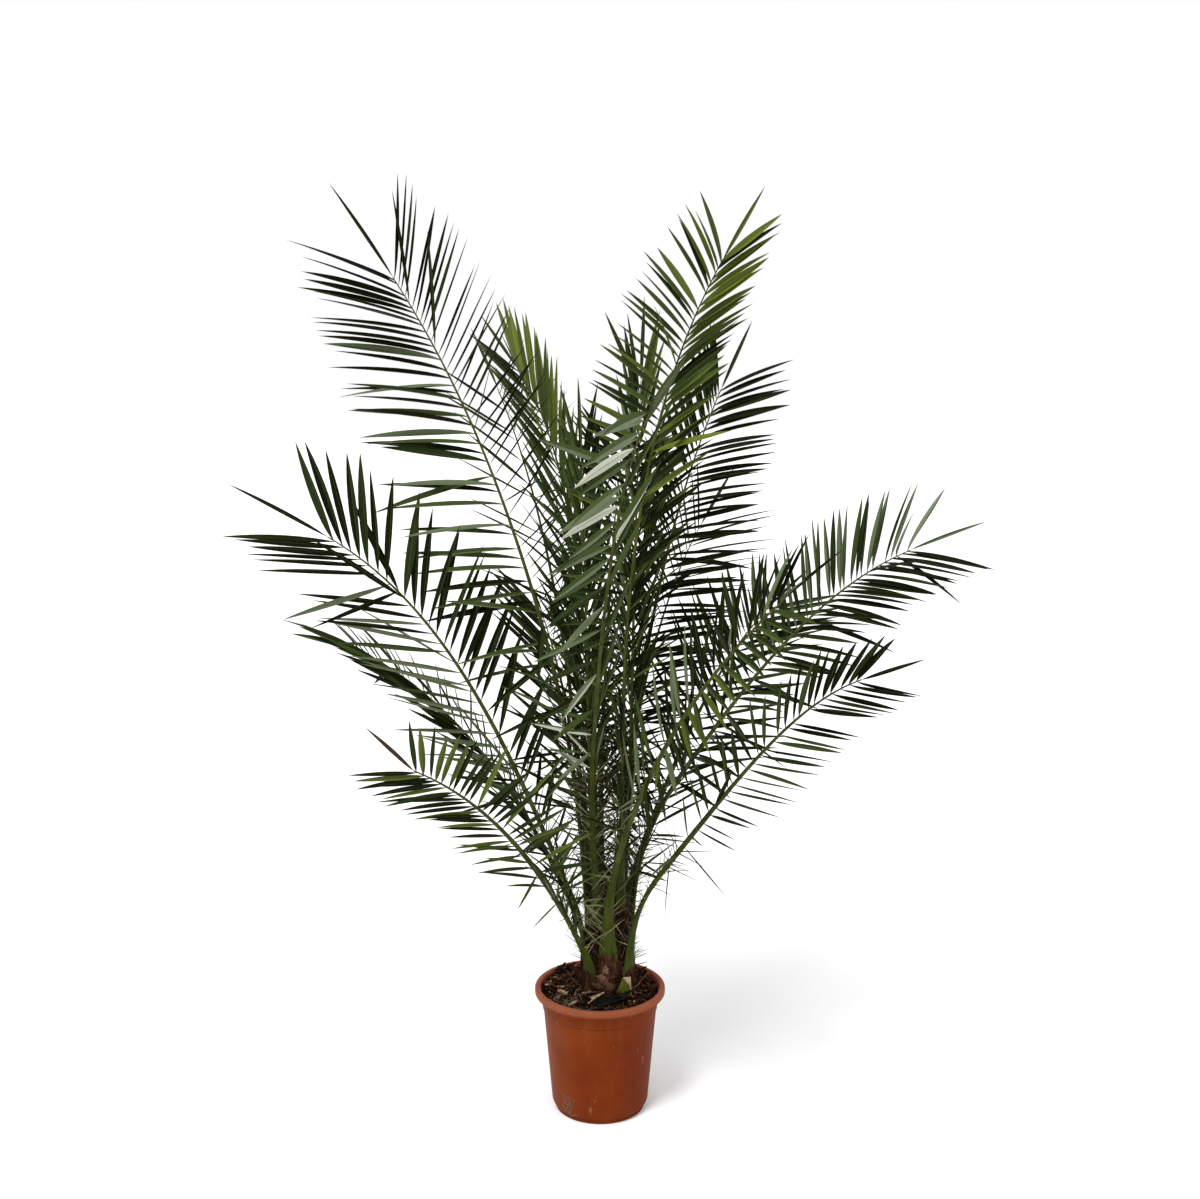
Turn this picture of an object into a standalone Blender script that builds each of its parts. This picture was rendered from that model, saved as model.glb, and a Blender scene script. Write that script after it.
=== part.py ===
"""A young Canary Island date palm in a terracotta-coloured nursery pot, about 2.1 m tall.

The origin is the centre of the pot's flat underside, +Z is up, and the plant is seen from -Y.
Lengths are in metres and angles in degrees. An azimuth is measured round +Z from +X.
"""

import math
import random
from collections import namedtuple

import bpy
import numpy as np
from mathutils.bvhtree import BVHTree

GAP = 0.0003  # clearance between solids that touch on the real plant

# Pot: injection-moulded, with a rolled rim, a step below it and a foot set back under the wall
POT_HEIGHT = 0.290
POT_FOOT_RADIUS = 0.1035
POT_FOOT_HEIGHT = 0.010
POT_FOOT_STEP = 0.004
POT_WALL_FOOT_RADIUS = 0.1110  # outer radius where the wall starts, above its rounded lower edge
POT_WALL_FOOT_Z = 0.018
POT_WALL_SLOPE = 0.087  # gain in radius for each metre of height
POT_WALL = 0.003
POT_FLOOR = 0.005
POT_STEP_Z = 0.239
POT_STEP = 0.0018
RIM_RADIUS = 0.150
RIM_BOTTOM_Z = 0.2725
RIM_INNER_RADIUS = 0.1375
RIM_ROUND = 0.0045
RIM_LIP = 0.003  # bevel of the rim's inner edge
SHARP_EDGE = 35
POT_SEGMENTS = 40

# Root ball: potting mulch that fills the pot
SOIL_Z = 0.2840
SOIL_BUMP = 0.0055
SOIL_BUMP_RAMP = 0.012  # the lumps grow to their full height over this distance from the level patch
SOIL_SEGMENTS = 32
# Rings of the mulch's surface from the middle out: radius, and share of the way its centre lies to the trunk
SOIL_RINGS = ((0.030, 1.0), (0.076, 1.0), (0.092, 0.6), (0.107, 0.3), (0.119, 0.1))
SOIL_EDGE_DROP = 0.0035
SOIL_EDGE_FROM = 0.100  # radius where the surface starts to drop, and the width of the drop
SOIL_EDGE_WIDTH = 0.025
SOIL_CLEARANCE = 0.0009  # to the pot's wall, whose facets run inside its true radius

# Trunk: the fibrous stem between the soil and the crown, a little right of the pot's axis
TRUNK_X = 0.020
TRUNK_FOOT_Z = SOIL_Z + GAP
TRUNK_FLAT_RADIUS = 0.076  # soil under the trunk is level as far out as this
TRUNK_TOP_Z = 0.560
TRUNK_PROFILE = (
    (TRUNK_FOOT_Z, 0.0680),
    (0.290, 0.0655),
    (0.310, 0.0620),
    (0.340, 0.0560),
    (0.380, 0.0500),
    (0.420, 0.0450),
    (0.460, 0.0405),
    (0.500, 0.0360),
    (0.540, 0.0280),
    (TRUNK_TOP_Z, 0.0160),
)
TRUNK_SEGMENTS = 16
TRUNK_ROUGHNESS = 0.0022
FOOT_STANDOFF = 0.008  # distance from the trunk's surface to the middle of a frond's foot
BOOT_LENGTH = 0.055
BOOT_INSET = 0.024
BOOT_TAPER = 0.9  # a boot is narrower where it leaves the trunk

# Cut stubs of old fronds round the foot of the trunk: azimuth, height of the cut, width
STUBS = (
    (296, 0.322, 0.034),
    (248, 0.312, 0.030),
    (42, 0.320, 0.030),
    (132, 0.326, 0.032),
    (175, 0.310, 0.028),
)
STUB_THICKNESS = 0.014
STUB_LENGTH = 0.036
STUB_LEAST_RISE = 0.004  # a stub starts at least this far above the trunk's foot
STUB_LEAN = 24
STUB_CUT = 28  # slant of the cut face

# Fronds
LEAFLET_LENGTH = 0.255
LEAFLET_PITCH = 0.037  # along the rib; a coarser comb than the living plant's
LEAFLET_FILL = 0.68  # share of the pitch that a leaflet's width takes up
LEAFLET_THICKNESS = 0.0030
LEAFLET_BELLY = 0.34  # place of the widest section along a leaflet
LEAFLET_SAG = 0.035  # share of its length by which a tip hangs
LENGTH_SPREAD = (0.96, 1.04)
LIFT_SPREAD = 2  # a leaflet's lift varies this many times as much as its angle
TERMINAL_SHARE = 0.9  # length of the terminal leaflet as a share of the others
TERMINAL_WIDTH = 0.014
LEAST_WIDTH = 0.009
LEAST_ANGLE = 9
SPINE_PITCH = 0.052
SPINE_BASE = 0.010
SPINE_LENGTH = 0.062
SPINE_SPREAD = (0.75, 1.2)
SPINE_CUTS = (1.0, 0.7, 0.45)  # shares of its length at which a spine is tried
SPINE_LIFT = (5, 35)
SPINE_ANGLE = (42, 66)
SPINES_FROM = 0.105  # share of the frond's length below which the stem is bare
PETIOLE_STATIONS = (0.0, 0.030, 0.070, 0.105)
FOOT_LEAN = 4  # a frond leaves the trunk almost upright
TURN_SHARE = 0.35  # share of the length over which a frond turns to its own heading
ROLL_FROM = 0.05  # its blade twists from here on, over this share of the length
ROLL_SHARE = 0.5
ROOT_SHARE = 0.03  # leaflets that share a root may touch as far out as this share of the way to the belly
RIB_SHARE = 0.45  # and a leaflet may lie on its rib as far out as this
CLEARANCE = 0.0012  # a leaflet grows only where it stays this clear of everything else
SAMPLES = 90
RESERVED_RINGS = 24
RESERVED_SCALE = 1.05  # each stem's space is held a little wider than the stem

# Section of a frond's stem and rib: share of length, half width, height of ridge, depth of keel
RIB_SECTION = (
    (0.00, 0.0165, 0.0040, 0.0065),
    (0.05, 0.0130, 0.0045, 0.0065),
    (0.12, 0.0100, 0.0050, 0.0060),
    (0.30, 0.0072, 0.0045, 0.0055),
    (0.60, 0.0048, 0.0032, 0.0042),
    (1.00, 0.0020, 0.0016, 0.0020),
)

# Leaflets along the blade: share of the blade, angle off the rib, lift out of its plane, share of full
# length, and looseness, the degrees by which they differ
LEAFLET_RULE = (
    (0.00, 60, 32, 0.45, 6),
    (0.12, 62, 28, 0.80, 4),
    (0.35, 60, 23, 1.00, 2),
    (0.50, 57, 21, 1.00, 2),
    (0.70, 51, 18, 0.97, 1.5),
    (0.85, 46, 15, 0.95, 1.5),
    (1.00, 34, 12, 0.90, 1),
)

# Ways round an obstacle, tried in turn: change of angle, change of lift, share of length
DETOURS = (
    (0, 0, 1),
    (0, 9, 1),
    (0, -9, 1),
    (-9, 0, 1),
    (9, 0, 1),
    (-9, 14, 1),
    (-14, -10, 1),
    (0, 20, 0.9),
    (-20, 0, 1),
    (0, 0, 0.7),
    (-10, 16, 0.7),
    (-20, -12, 0.7),
    (0, 0, 0.45),
)

# foot_at, foot_z: place of the foot on the trunk. heading: azimuth the frond leans to. lean: angle from
# upright once past its elbow. arch: further lean gained by the tip, as the bend-th power of the way there.
# roll: twist of the blade about its rib. spread: share of the rule's angle off the rib. skew: how much
# wider the outer side opens. hang: change of lift, less so at the tip. leaf: share of the rule's leaflet
# length. blade: where the blade starts. stout: scale of the section.
Frond = namedtuple(
    "Frond",
    "name foot_at foot_z heading lean arch length elbow bend roll spread skew hang leaf blade stout",
    defaults=(0, 1.0, 0.0, 0, 1.0, 0.30, 1.0),
)

FRONDS = (
    Frond("frond_left_upper", 172, 0.455, 176, 11, 22, 1.51, 0.50, 2.1, roll=-59, spread=1.12, skew=0.06,
          hang=-26, leaf=1.08, stout=0.9),
    Frond("frond_right_upper", 305, 0.490, 338, 0, 30.5, 1.46, 0.06, 2.45, roll=112, skew=-0.33, hang=-6,
          leaf=0.74, stout=0.85),
    Frond("frond_left_middle", 192, 0.385, 198, 22, 36, 1.135, 0.12, 3.0, roll=-80, spread=0.9, skew=-0.15,
          hang=-32, leaf=1.02),
    Frond("frond_right_middle", 28, 0.400, 8, 34.2, 34.6, 1.145, 0.38, 3.4, roll=54, spread=1.12, skew=0.06,
          hang=16, leaf=0.85, blade=0.26),
    Frond("frond_front", 240, 0.450, 281, 12, 55, 1.39, 0.20, 2.25, roll=41, spread=0.98, skew=0.5, hang=-24,
          leaf=0.75, stout=0.9),
    Frond("frond_left_low", 228, 0.340, 218, 28, 34, 0.73, 0.06, 1.8, roll=-112, spread=0.95, skew=-0.35,
          hang=7, leaf=0.68, blade=0.27, stout=1.15),
    Frond("frond_right_low", 316, 0.345, 338, 36, 30, 0.91, 0.31, 5.5, roll=98, spread=0.82, skew=0.07,
          hang=5, leaf=0.62, blade=0.40, stout=1.1),
    Frond("frond_front_right", 268, 0.385, 335, 7, 39, 0.96, 0.06, 1.0, roll=52, spread=1.12, skew=0.33,
          leaf=0.73, blade=0.26, stout=1.35),
    Frond("frond_right_back", 50, 0.460, 35, 6, 23, 1.23, 0.60, 1.9, roll=60, skew=0.2, leaf=0.82, stout=0.9),
    Frond("frond_inner_left", 120, 0.490, 125, 4.5, 46.8, 1.28, 0.06, 3.2, roll=-75, spread=0.47,
          skew=-0.14, leaf=0.98, stout=0.85),
    Frond("frond_left_back_low", 155, 0.370, 152, 24, 49, 0.95, 0.06, 1.3, roll=10, spread=0.8, hang=-20,
          leaf=0.85, blade=0.28),
    Frond("frond_back_right", 78, 0.415, 55, 13, 36, 1.00, 0.06, 2.2, roll=40, skew=0.2, leaf=0.95,
          blade=0.28, stout=0.8),
    Frond("spear_right", 20, 0.530, 72, 3, 4, 1.14, 0.10, 2.0, roll=20, spread=0.30, leaf=0.85, stout=0.7),
    Frond("spear_left", 200, 0.540, 120, 2, 2, 0.95, 0.10, 2.0, roll=-20, spread=0.33, leaf=0.85, stout=0.7),
    Frond("frond_back_left", 140, 0.430, 124, 8, 32, 1.30, 0.30, 2.0, roll=-15, leaf=0.88, stout=0.9),
    Frond("frond_back", 104, 0.425, 84, 18, 38, 1.22, 0.30, 2.0, roll=15, blade=0.26, stout=0.8),
    Frond("frond_back_low", 105, 0.350, 104, 36, 32, 0.98, 0.20, 2.0, roll=20, blade=0.28, stout=1.1),
    Frond("frond_back_right_low", 60, 0.355, 52, 33, 34, 1.00, 0.20, 2.0, roll=25, skew=0.1,
          blade=0.28, stout=1.1),
)

LEAF_GREEN = (0.040, 0.075, 0.026, 1)
FIBRE_BROWN = (0.060, 0.032, 0.018, 1)
MULCH_BROWN = (0.030, 0.017, 0.011, 1)
TERRACOTTA = (0.300, 0.065, 0.022, 1)


# Small helpers

def clear_scene():
    for obj in list(bpy.data.objects):
        bpy.data.objects.remove(obj, do_unlink=True)


def material(name, colour, roughness):
    made = bpy.data.materials.new(name)
    made.use_nodes = True
    shader = made.node_tree.nodes["Principled BSDF"]
    shader.inputs["Base Color"].default_value = colour
    shader.inputs["Roughness"].default_value = roughness
    shader.inputs["Metallic"].default_value = 0.0
    return made


def mesh_object(name, points, faces, finish):
    mesh = bpy.data.meshes.new(name)
    mesh.from_pydata([tuple(map(float, p)) for p in points], [], faces)
    mesh.materials.append(finish)
    mesh.update()
    made = bpy.data.objects.new(name, mesh)
    bpy.context.scene.collection.objects.link(made)
    return made


def at(radius, azimuth, z, x=0.0):
    """A point at this radius and azimuth round an upright axis through x."""
    turn = math.radians(azimuth)
    return np.array([x + radius * math.cos(turn), radius * math.sin(turn), z])


def unit(vector):
    return vector / np.linalg.norm(vector)


def eased(values):
    """0 up to 0, 1 from 1 on, and a smooth step between."""
    values = np.clip(values, 0, 1)
    return values * values * (3 - 2 * values)


def table(rows, where):
    """Each column after the first of a table of rows, read at these places in its first column."""
    columns = np.array(rows).T
    return [np.interp(where, columns[0], column) for column in columns[1:]]


def ring_band(low, high, count):
    """Quads between two rings of points, facing out where the rings run anticlockwise from above."""
    return [(low + k, low + (k + 1) % count, high + (k + 1) % count, high + k) for k in range(count)]


def capped_rings(name, rings, finish):
    """A closed solid through rings of equal count, with a flat face over the first and the last."""
    count = len(rings[0])
    points = [p for ring in rings for p in ring]
    faces = []
    for row in range(len(rings) - 1):
        faces += ring_band(row * count, (row + 1) * count, count)
    faces.append(tuple(reversed(range(count))))
    faces.append(tuple(range(len(points) - count, len(points))))
    return mesh_object(name, points, faces, finish)


def circle(radius, z, segments):
    return [at(radius, 360 * k / segments, z) for k in range(segments)]


def joined(base, name, extras, solver="EXACT"):
    """One solid from a base object and the objects that overlap it."""
    group = bpy.data.collections.new(name + "_parts")
    for extra in extras:
        bpy.context.scene.collection.objects.unlink(extra)
        group.objects.link(extra)
    union = base.modifiers.new("union", "BOOLEAN")
    union.operation = "UNION"
    union.operand_type = "COLLECTION"
    union.collection = group
    union.solver = solver
    graph = bpy.context.evaluated_depsgraph_get()
    whole = bpy.data.meshes.new_from_object(base.evaluated_get(graph))
    base.modifiers.clear()
    base.data = whole
    base.name = name
    for extra in list(group.objects):
        bpy.data.objects.remove(extra, do_unlink=True)
    bpy.data.collections.remove(group)
    return base


# Pot

def wall_radius(z):
    """Outer radius of the pot's wall at this height."""
    step = POT_STEP if z > POT_STEP_Z else 0.0
    return POT_WALL_FOOT_RADIUS + POT_WALL_SLOPE * (z - POT_WALL_FOOT_Z) + step


def pot_profile():
    """The pot's section: up the outside from the foot, over the rim, and down the inside to the floor."""
    under_rim = wall_radius(RIM_BOTTOM_Z)
    outside = [
        (POT_FOOT_RADIUS, 0.0),
        (POT_FOOT_RADIUS, POT_FOOT_HEIGHT),
        (POT_FOOT_RADIUS + POT_FOOT_STEP, POT_FOOT_HEIGHT + POT_FOOT_STEP / 2),
        (POT_WALL_FOOT_RADIUS, POT_WALL_FOOT_Z),
        (wall_radius(POT_STEP_Z), POT_STEP_Z),
        (wall_radius(POT_STEP_Z + POT_STEP), POT_STEP_Z + POT_STEP),
        (under_rim, RIM_BOTTOM_Z),
    ]
    rim = [
        (RIM_RADIUS - RIM_ROUND, RIM_BOTTOM_Z),
        (RIM_RADIUS, RIM_BOTTOM_Z + RIM_ROUND),
        (RIM_RADIUS, POT_HEIGHT - RIM_ROUND),
        (RIM_RADIUS - RIM_ROUND, POT_HEIGHT),
        (RIM_INNER_RADIUS + RIM_LIP, POT_HEIGHT),
        (RIM_INNER_RADIUS, POT_HEIGHT - RIM_LIP),
    ]
    inside = [
        (under_rim - POT_WALL, RIM_BOTTOM_Z - RIM_LIP),
        (POT_WALL_FOOT_RADIUS - POT_WALL, POT_WALL_FOOT_Z),
        (POT_FOOT_RADIUS - POT_WALL, POT_FLOOR),
    ]
    return outside + rim + inside


def build_pot():
    finish = material("pot_plastic", TERRACOTTA, 0.45)
    rings = [circle(radius, z, POT_SEGMENTS) for radius, z in pot_profile()]
    pot = capped_rings("pot", rings, finish)
    pot.data.shade_smooth()
    pot.data.set_sharp_from_angle(angle=math.radians(SHARP_EDGE))
    return pot


# Root ball

def ramp(value):
    return min(max(value, 0), 1)


def soil_height(x, y):
    """The mulch is lumpy, level under the trunk and lower where it meets the pot."""
    from_trunk = math.hypot(x - TRUNK_X, y) - TRUNK_FLAT_RADIUS
    lumps = (math.sin(61 * x + 1.3) * math.cos(53 * y - 0.4) + 0.6 * math.sin(97 * x - 71 * y)) / 1.6
    rise = SOIL_BUMP * lumps * ramp(from_trunk / SOIL_BUMP_RAMP)
    return SOIL_Z + rise - SOIL_EDGE_DROP * ramp((math.hypot(x, y) - SOIL_EDGE_FROM) / SOIL_EDGE_WIDTH)


def build_soil():
    finish = material("mulch", MULCH_BROWN, 0.95)
    foot_radius = POT_FOOT_RADIUS - POT_WALL - SOIL_CLEARANCE
    wall_foot_radius = POT_WALL_FOOT_RADIUS - POT_WALL - SOIL_CLEARANCE
    edge_z = SOIL_Z - SOIL_EDGE_DROP
    slope = (wall_radius(RIM_BOTTOM_Z) - POT_WALL_FOOT_RADIUS) / (RIM_BOTTOM_Z - RIM_LIP - POT_WALL_FOOT_Z)
    edge_radius = wall_foot_radius + slope * (edge_z - POT_WALL_FOOT_Z)
    rings = [
        circle(foot_radius, POT_FLOOR + GAP, SOIL_SEGMENTS),
        circle(wall_foot_radius, POT_WALL_FOOT_Z, SOIL_SEGMENTS),
    ]
    for radius, share in ((edge_radius, 0), *reversed(SOIL_RINGS)):
        flat = [p + (share * TRUNK_X, 0, 0) for p in circle(radius, 0, SOIL_SEGMENTS)]
        rings.append([p + (0, 0, soil_height(p[0], p[1])) for p in flat])
    return capped_rings("soil", rings, finish)


# Fronds

def trunk_radius(z):
    return table(TRUNK_PROFILE, z)[0]


def rib_line(frond):
    """Samples along a frond's rib: share of length, point, and the frame of tangent, side and upper face."""
    s = np.linspace(0, 1, SAMPLES)
    lean = FOOT_LEAN + (frond.lean - FOOT_LEAN) * eased(s / frond.elbow) + frond.arch * s**frond.bend
    heading = frond.foot_at + (frond.heading - frond.foot_at) * eased(s / TURN_SHARE)
    lean, heading = np.radians(lean), np.radians(heading)
    tangent = np.stack([np.sin(lean) * np.cos(heading), np.sin(lean) * np.sin(heading), np.cos(lean)], 1)
    level = np.stack([-np.sin(heading), np.cos(heading), 0 * heading], 1)
    upper = np.cross(tangent, level)
    roll = (np.radians(frond.roll) * eased((s - ROLL_FROM) / ROLL_SHARE))[:, None]
    side = level * np.cos(roll) + upper * np.sin(roll)
    face = upper * np.cos(roll) - level * np.sin(roll)
    steps = (tangent[1:] + tangent[:-1]) / 2 * frond.length / (SAMPLES - 1)
    foot = at(trunk_radius(frond.foot_z) + FOOT_STANDOFF, frond.foot_at, frond.foot_z, TRUNK_X)
    points = np.concatenate([[foot], foot + np.cumsum(steps, 0)])
    return s, points, tangent, side, face


def along(line, share):
    """Point, tangent, side and face at this share of a rib's length."""
    s, *columns = line
    point, tangent, side, face = (np.array([np.interp(share, s, c[:, i]) for i in range(3)]) for c in columns)
    return point, unit(tangent), unit(side), unit(face)


def section(line, share, stout):
    """The four corners of the stem there: right, ridge, left and keel."""
    point, _, side, face = along(line, share)
    half, ridge, keel = (stout * value for value in table(RIB_SECTION, share))
    return [point + half * side, point + ridge * face, point - half * side, point - keel * face]


def stations(frond):
    """Places along the rib where its section is set, and what grows between each and the next."""
    places = [(share, None) for share in PETIOLE_STATIONS[:-1]]
    spine = SPINE_BASE / frond.length
    step = SPINE_PITCH / frond.length
    share = SPINES_FROM
    while share + spine < frond.blade - step / 2:
        places += [(share, "spine"), (share + spine, None)]
        share += step
    pairs = round(frond.length * (1 - frond.blade) / LEAFLET_PITCH)
    for pair in range(pairs):
        places.append((frond.blade + (1 - frond.blade) * pair / pairs, "leaflet"))
    places.append((1.0, None))
    return places


def leaflet_shape(frond, line, share, side, detour, chance):
    """Root, direction, edge axis, upper axis, length and width of the leaflet at this share of the rib."""
    blade = (share - frond.blade) / (1 - frond.blade)
    angle, lift, size, loose = table(LEAFLET_RULE, blade)
    outer = 1 if frond.roll < 0 else -1
    angle = angle * frond.spread * (1 + frond.skew * side * outer) + detour[0]
    angle += chance.uniform(-1, 1) * loose * frond.spread
    angle = math.radians(max(angle, LEAST_ANGLE))
    lift += frond.hang * (1 - blade**4) + detour[1] + LIFT_SPREAD * chance.uniform(-1, 1) * loose * frond.spread
    lift = math.radians(lift)
    root, tangent, across, face = along(line, share)
    out = math.cos(lift) * side * across + math.sin(lift) * face
    direction = math.cos(angle) * tangent + math.sin(angle) * out
    edge = unit(tangent - direction * np.dot(tangent, direction))
    upper = np.cross(edge, direction)
    length = LEAFLET_LENGTH * size * frond.leaf * detour[2] * chance.uniform(*LENGTH_SPREAD)
    width = max(LEAFLET_PITCH * LEAFLET_FILL * math.sin(angle), LEAST_WIDTH)
    return root, direction, edge, upper, length, width


def blade_points(shape, grow=0.0):
    """The four corners of a leaflet's widest section, in its base's order, and its tip, swollen by grow."""
    root, direction, edge, upper, length, width = shape
    belly = root + direction * length * LEAFLET_BELLY
    half, thick = width / 2 + grow, LEAFLET_THICKNESS / 2 + grow
    tip = root + direction * (length + grow) - np.array([0, 0, LEAFLET_SAG * length])
    corners = [belly - edge * half - upper * thick, belly - edge * half + upper * thick,
               belly + edge * half + upper * thick, belly + edge * half - upper * thick]
    return corners, tip


def split(quads):
    """Each four-sided face as two triangles."""
    return [half for a, b, c, d in quads for half in ((a, b, c), (a, c, d))]


def cone_faces(base, belly, tip):
    """Triangles of a leaflet from four base corners, through four at its belly, to its tip, by number."""
    walls = [(base[k], base[(k + 1) % 4], belly[(k + 1) % 4], belly[k]) for k in (0, 1, 3)]
    walls.append((base[3], belly[3], belly[2], base[2]))  # cut like the first wall of the next leaflet
    return split(walls) + [(belly[k], belly[(k + 1) % 4], tip) for k in range(4)]


def leaflet_tree(base, corners, tip):
    """A tree of one leaflet's faces, for finding what it would touch."""
    points = [tuple(p) for p in (*base, *corners, tip)]
    return BVHTree.FromPolygons(points, cone_faces((0, 1, 2, 3), (4, 5, 6, 7), 8))


class Space:
    """What the growing solids may not touch: the finished ones and every frond's stem."""

    def __init__(self):
        self.trees = {}

    def add(self, owner, points, faces):
        self.trees[owner] = BVHTree.FromPolygons([tuple(p) for p in points], faces)

    def free(self, owner, tree):
        return not any(tree.overlap(other) for name, other in self.trees.items() if name != owner)


def rib_tree(rings):
    """A tree of the sides of a rib."""
    faces = []
    for row in range(len(rings) - 1):
        faces += ring_band(4 * row, 4 * row + 4, 4)
    return BVHTree.FromPolygons([tuple(p) for ring in rings for p in ring], faces)


def side_corners(low, side):
    """Corner numbers of the rib's upper face on this side, facing out, from the ring that starts at low."""
    if side > 0:
        return [low, low + 1, low + 5, low + 4]
    return [low + 1, low + 2, low + 6, low + 5]


def leaflet_base(rings, index, side):
    """Corners of the rib's face that a leaflet or spine grows from."""
    both = [*rings[index], *rings[index + 1]]
    return [both[number] for number in side_corners(0, side)]


def clear_of_own(index, whole, swollen, outer, own):
    """Whether a leaflet misses the others on its rib, past the roots that neighbours share."""
    for other_index, other_whole, other_outer in own:
        if abs(other_index - index) > 1:
            if swollen.overlap(other_whole):
                return False
        elif outer.overlap(other_whole) or whole.overlap(other_outer):
            return False
    return True


def grow_leaflet(frond, line, rings, places, index, side, space, own, rib, chance):
    """The first detour on which this leaflet touches nothing, as section and tip, or None."""
    share = (places[index][0] + places[index + 1][0]) / 2
    base = leaflet_base(rings, index, side)
    middle = sum(base) / 4
    state = chance.getstate()
    for detour in DETOURS:
        chance.setstate(state)
        shape = leaflet_shape(frond, line, share, side, detour, chance)
        corners, tip = blade_points(shape)
        swollen_corners, swollen_tip = blade_points(shape, CLEARANCE)
        swollen = leaflet_tree(base, swollen_corners, swollen_tip)
        if not space.free(frond.name, swollen):
            continue
        roots = [near + (far - near) * ROOT_SHARE for near, far in zip(base, corners)]
        far_roots = [middle + (far - middle) * RIB_SHARE for far in swollen_corners]
        if leaflet_tree(far_roots, swollen_corners, swollen_tip).overlap(rib):
            continue
        whole = leaflet_tree(base, corners, tip)
        outer = leaflet_tree(roots, corners, tip)
        if clear_of_own(index, whole, swollen, outer, own):
            own.append((index, whole, outer))
            return corners, tip
    return None


def grow_spine(frond, line, rings, places, index, side, space, chance):
    """The tip of the spine on this side, or None where it would touch something."""
    share = (places[index][0] + places[index + 1][0]) / 2
    root, tangent, across, face = along(line, share)
    lift = math.radians(chance.uniform(*SPINE_LIFT))
    angle = math.radians(chance.uniform(*SPINE_ANGLE))
    out = math.cos(lift) * side * across + math.sin(lift) * face
    reach = (math.cos(angle) * tangent + math.sin(angle) * out) * SPINE_LENGTH
    reach = reach * chance.uniform(*SPINE_SPREAD)
    base = leaflet_base(rings, index, side)
    for size in SPINE_CUTS:
        tip = root + reach * size
        end = tip + unit(reach) * CLEARANCE
        faces = [(k, (k + 1) % 4, 4) for k in range(4)]
        if space.free(frond.name, BVHTree.FromPolygons([tuple(p) for p in (*base, end)], faces)):
            return tip
    return None


def build_frond(frond, lines, space, finish):
    """One closed mesh: the stem and rib, with spines below and leaflets cut to the rib above."""
    chance = random.Random(frond.name)
    line = lines[frond.name]
    places = stations(frond)
    rings = [section(line, share, frond.stout) for share, _ in places]
    rib = rib_tree(rings)
    points = [p for ring in rings for p in ring]
    faces = [(3, 2, 1, 0)]
    own = []
    for index in range(len(places) - 1):
        low = 4 * index
        faces += [(low + 2, low + 3, low + 7, low + 6), (low + 3, low, low + 4, low + 7)]
        for side in (1, -1):
            quad = side_corners(low, side)
            kind = places[index][1]
            if kind == "leaflet":
                grown = grow_leaflet(frond, line, rings, places, index, side, space, own, rib, chance)
                if grown:
                    first = len(points)
                    points += [*grown[0], grown[1]]
                    faces += cone_faces(quad, range(first, first + 4), first + 4)
                    continue
            elif kind == "spine":
                tip = grow_spine(frond, line, rings, places, index, side, space, chance)
                if tip is not None:
                    faces += [(quad[k], quad[(k + 1) % 4], len(points)) for k in range(4)]
                    points.append(tip)
                    continue
            faces.append(tuple(quad))
    add_terminal(frond, line, points, faces, 4 * (len(places) - 1))
    space.add(frond.name, points, faces)
    return mesh_object(frond.name, points, faces, finish)


def add_terminal(frond, line, points, faces, low):
    """The leaflet in line with the rib, grown from its last section."""
    point, tangent, side, face = along(line, 1.0)
    length = LEAFLET_LENGTH * frond.leaf * TERMINAL_SHARE
    belly = point + tangent * length * LEAFLET_BELLY
    half, thick = TERMINAL_WIDTH / 2, LEAFLET_THICKNESS / 2
    first = len(points)
    points += [belly + half * side, belly + thick * face, belly - half * side, belly - thick * face]
    points.append(point + tangent * length - np.array([0, 0, LEAFLET_SAG * length]))
    faces += cone_faces(range(low, low + 4), range(first, first + 4), first + 4)


def reserve_stems(lines, space):
    """Every frond's bare stem and rib holds its space before any leaflet grows."""
    for frond in FRONDS:
        line = lines[frond.name]
        shares = np.linspace(0, 1, RESERVED_RINGS)
        rings = [section(line, share, frond.stout * RESERVED_SCALE) for share in shares]
        tip = line[1][-1] + line[2][-1] * LEAFLET_LENGTH * frond.leaf * TERMINAL_SHARE
        points = [p for ring in rings for p in ring] + [tip]
        faces = [(3, 2, 1, 0)]
        for row in range(len(rings) - 1):
            faces += ring_band(4 * row, 4 * row + 4, 4)
        last = len(points) - 5
        faces += [(last + k, last + (k + 1) % 4, last + 4) for k in range(4)]
        space.add(frond.name, points, faces)


def build_fronds(space):
    lines = {frond.name: rib_line(frond) for frond in FRONDS}
    reserve_stems(lines, space)
    made = []
    for frond in FRONDS:
        finish = material(frond.name + "_leaf", LEAF_GREEN, 0.5)
        made.append(build_frond(frond, lines, space, finish))
    return made


# Trunk

def stem_block(name, low, high, finish):
    """A short tapering block between two sections of four corners each."""
    faces = [(3, 2, 1, 0), (4, 5, 6, 7)] + ring_band(0, 4, 4)
    return mesh_object(name, [*low, *high], faces, finish)


def boot(frond, finish):
    """The stub of leaf base that carries a frond, ending just under its foot."""
    line = rib_line(frond)
    point, tangent, _, _ = along(line, 0.0)
    foot = [corner - tangent * GAP for corner in section(line, 0.0, frond.stout)]
    inward = unit(at(1, frond.foot_at, 0)) * BOOT_INSET
    low = [point + (corner - point) * BOOT_TAPER - inward - tangent * BOOT_LENGTH for corner in foot]
    return stem_block(frond.name + "_boot", low, foot, finish)


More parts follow.
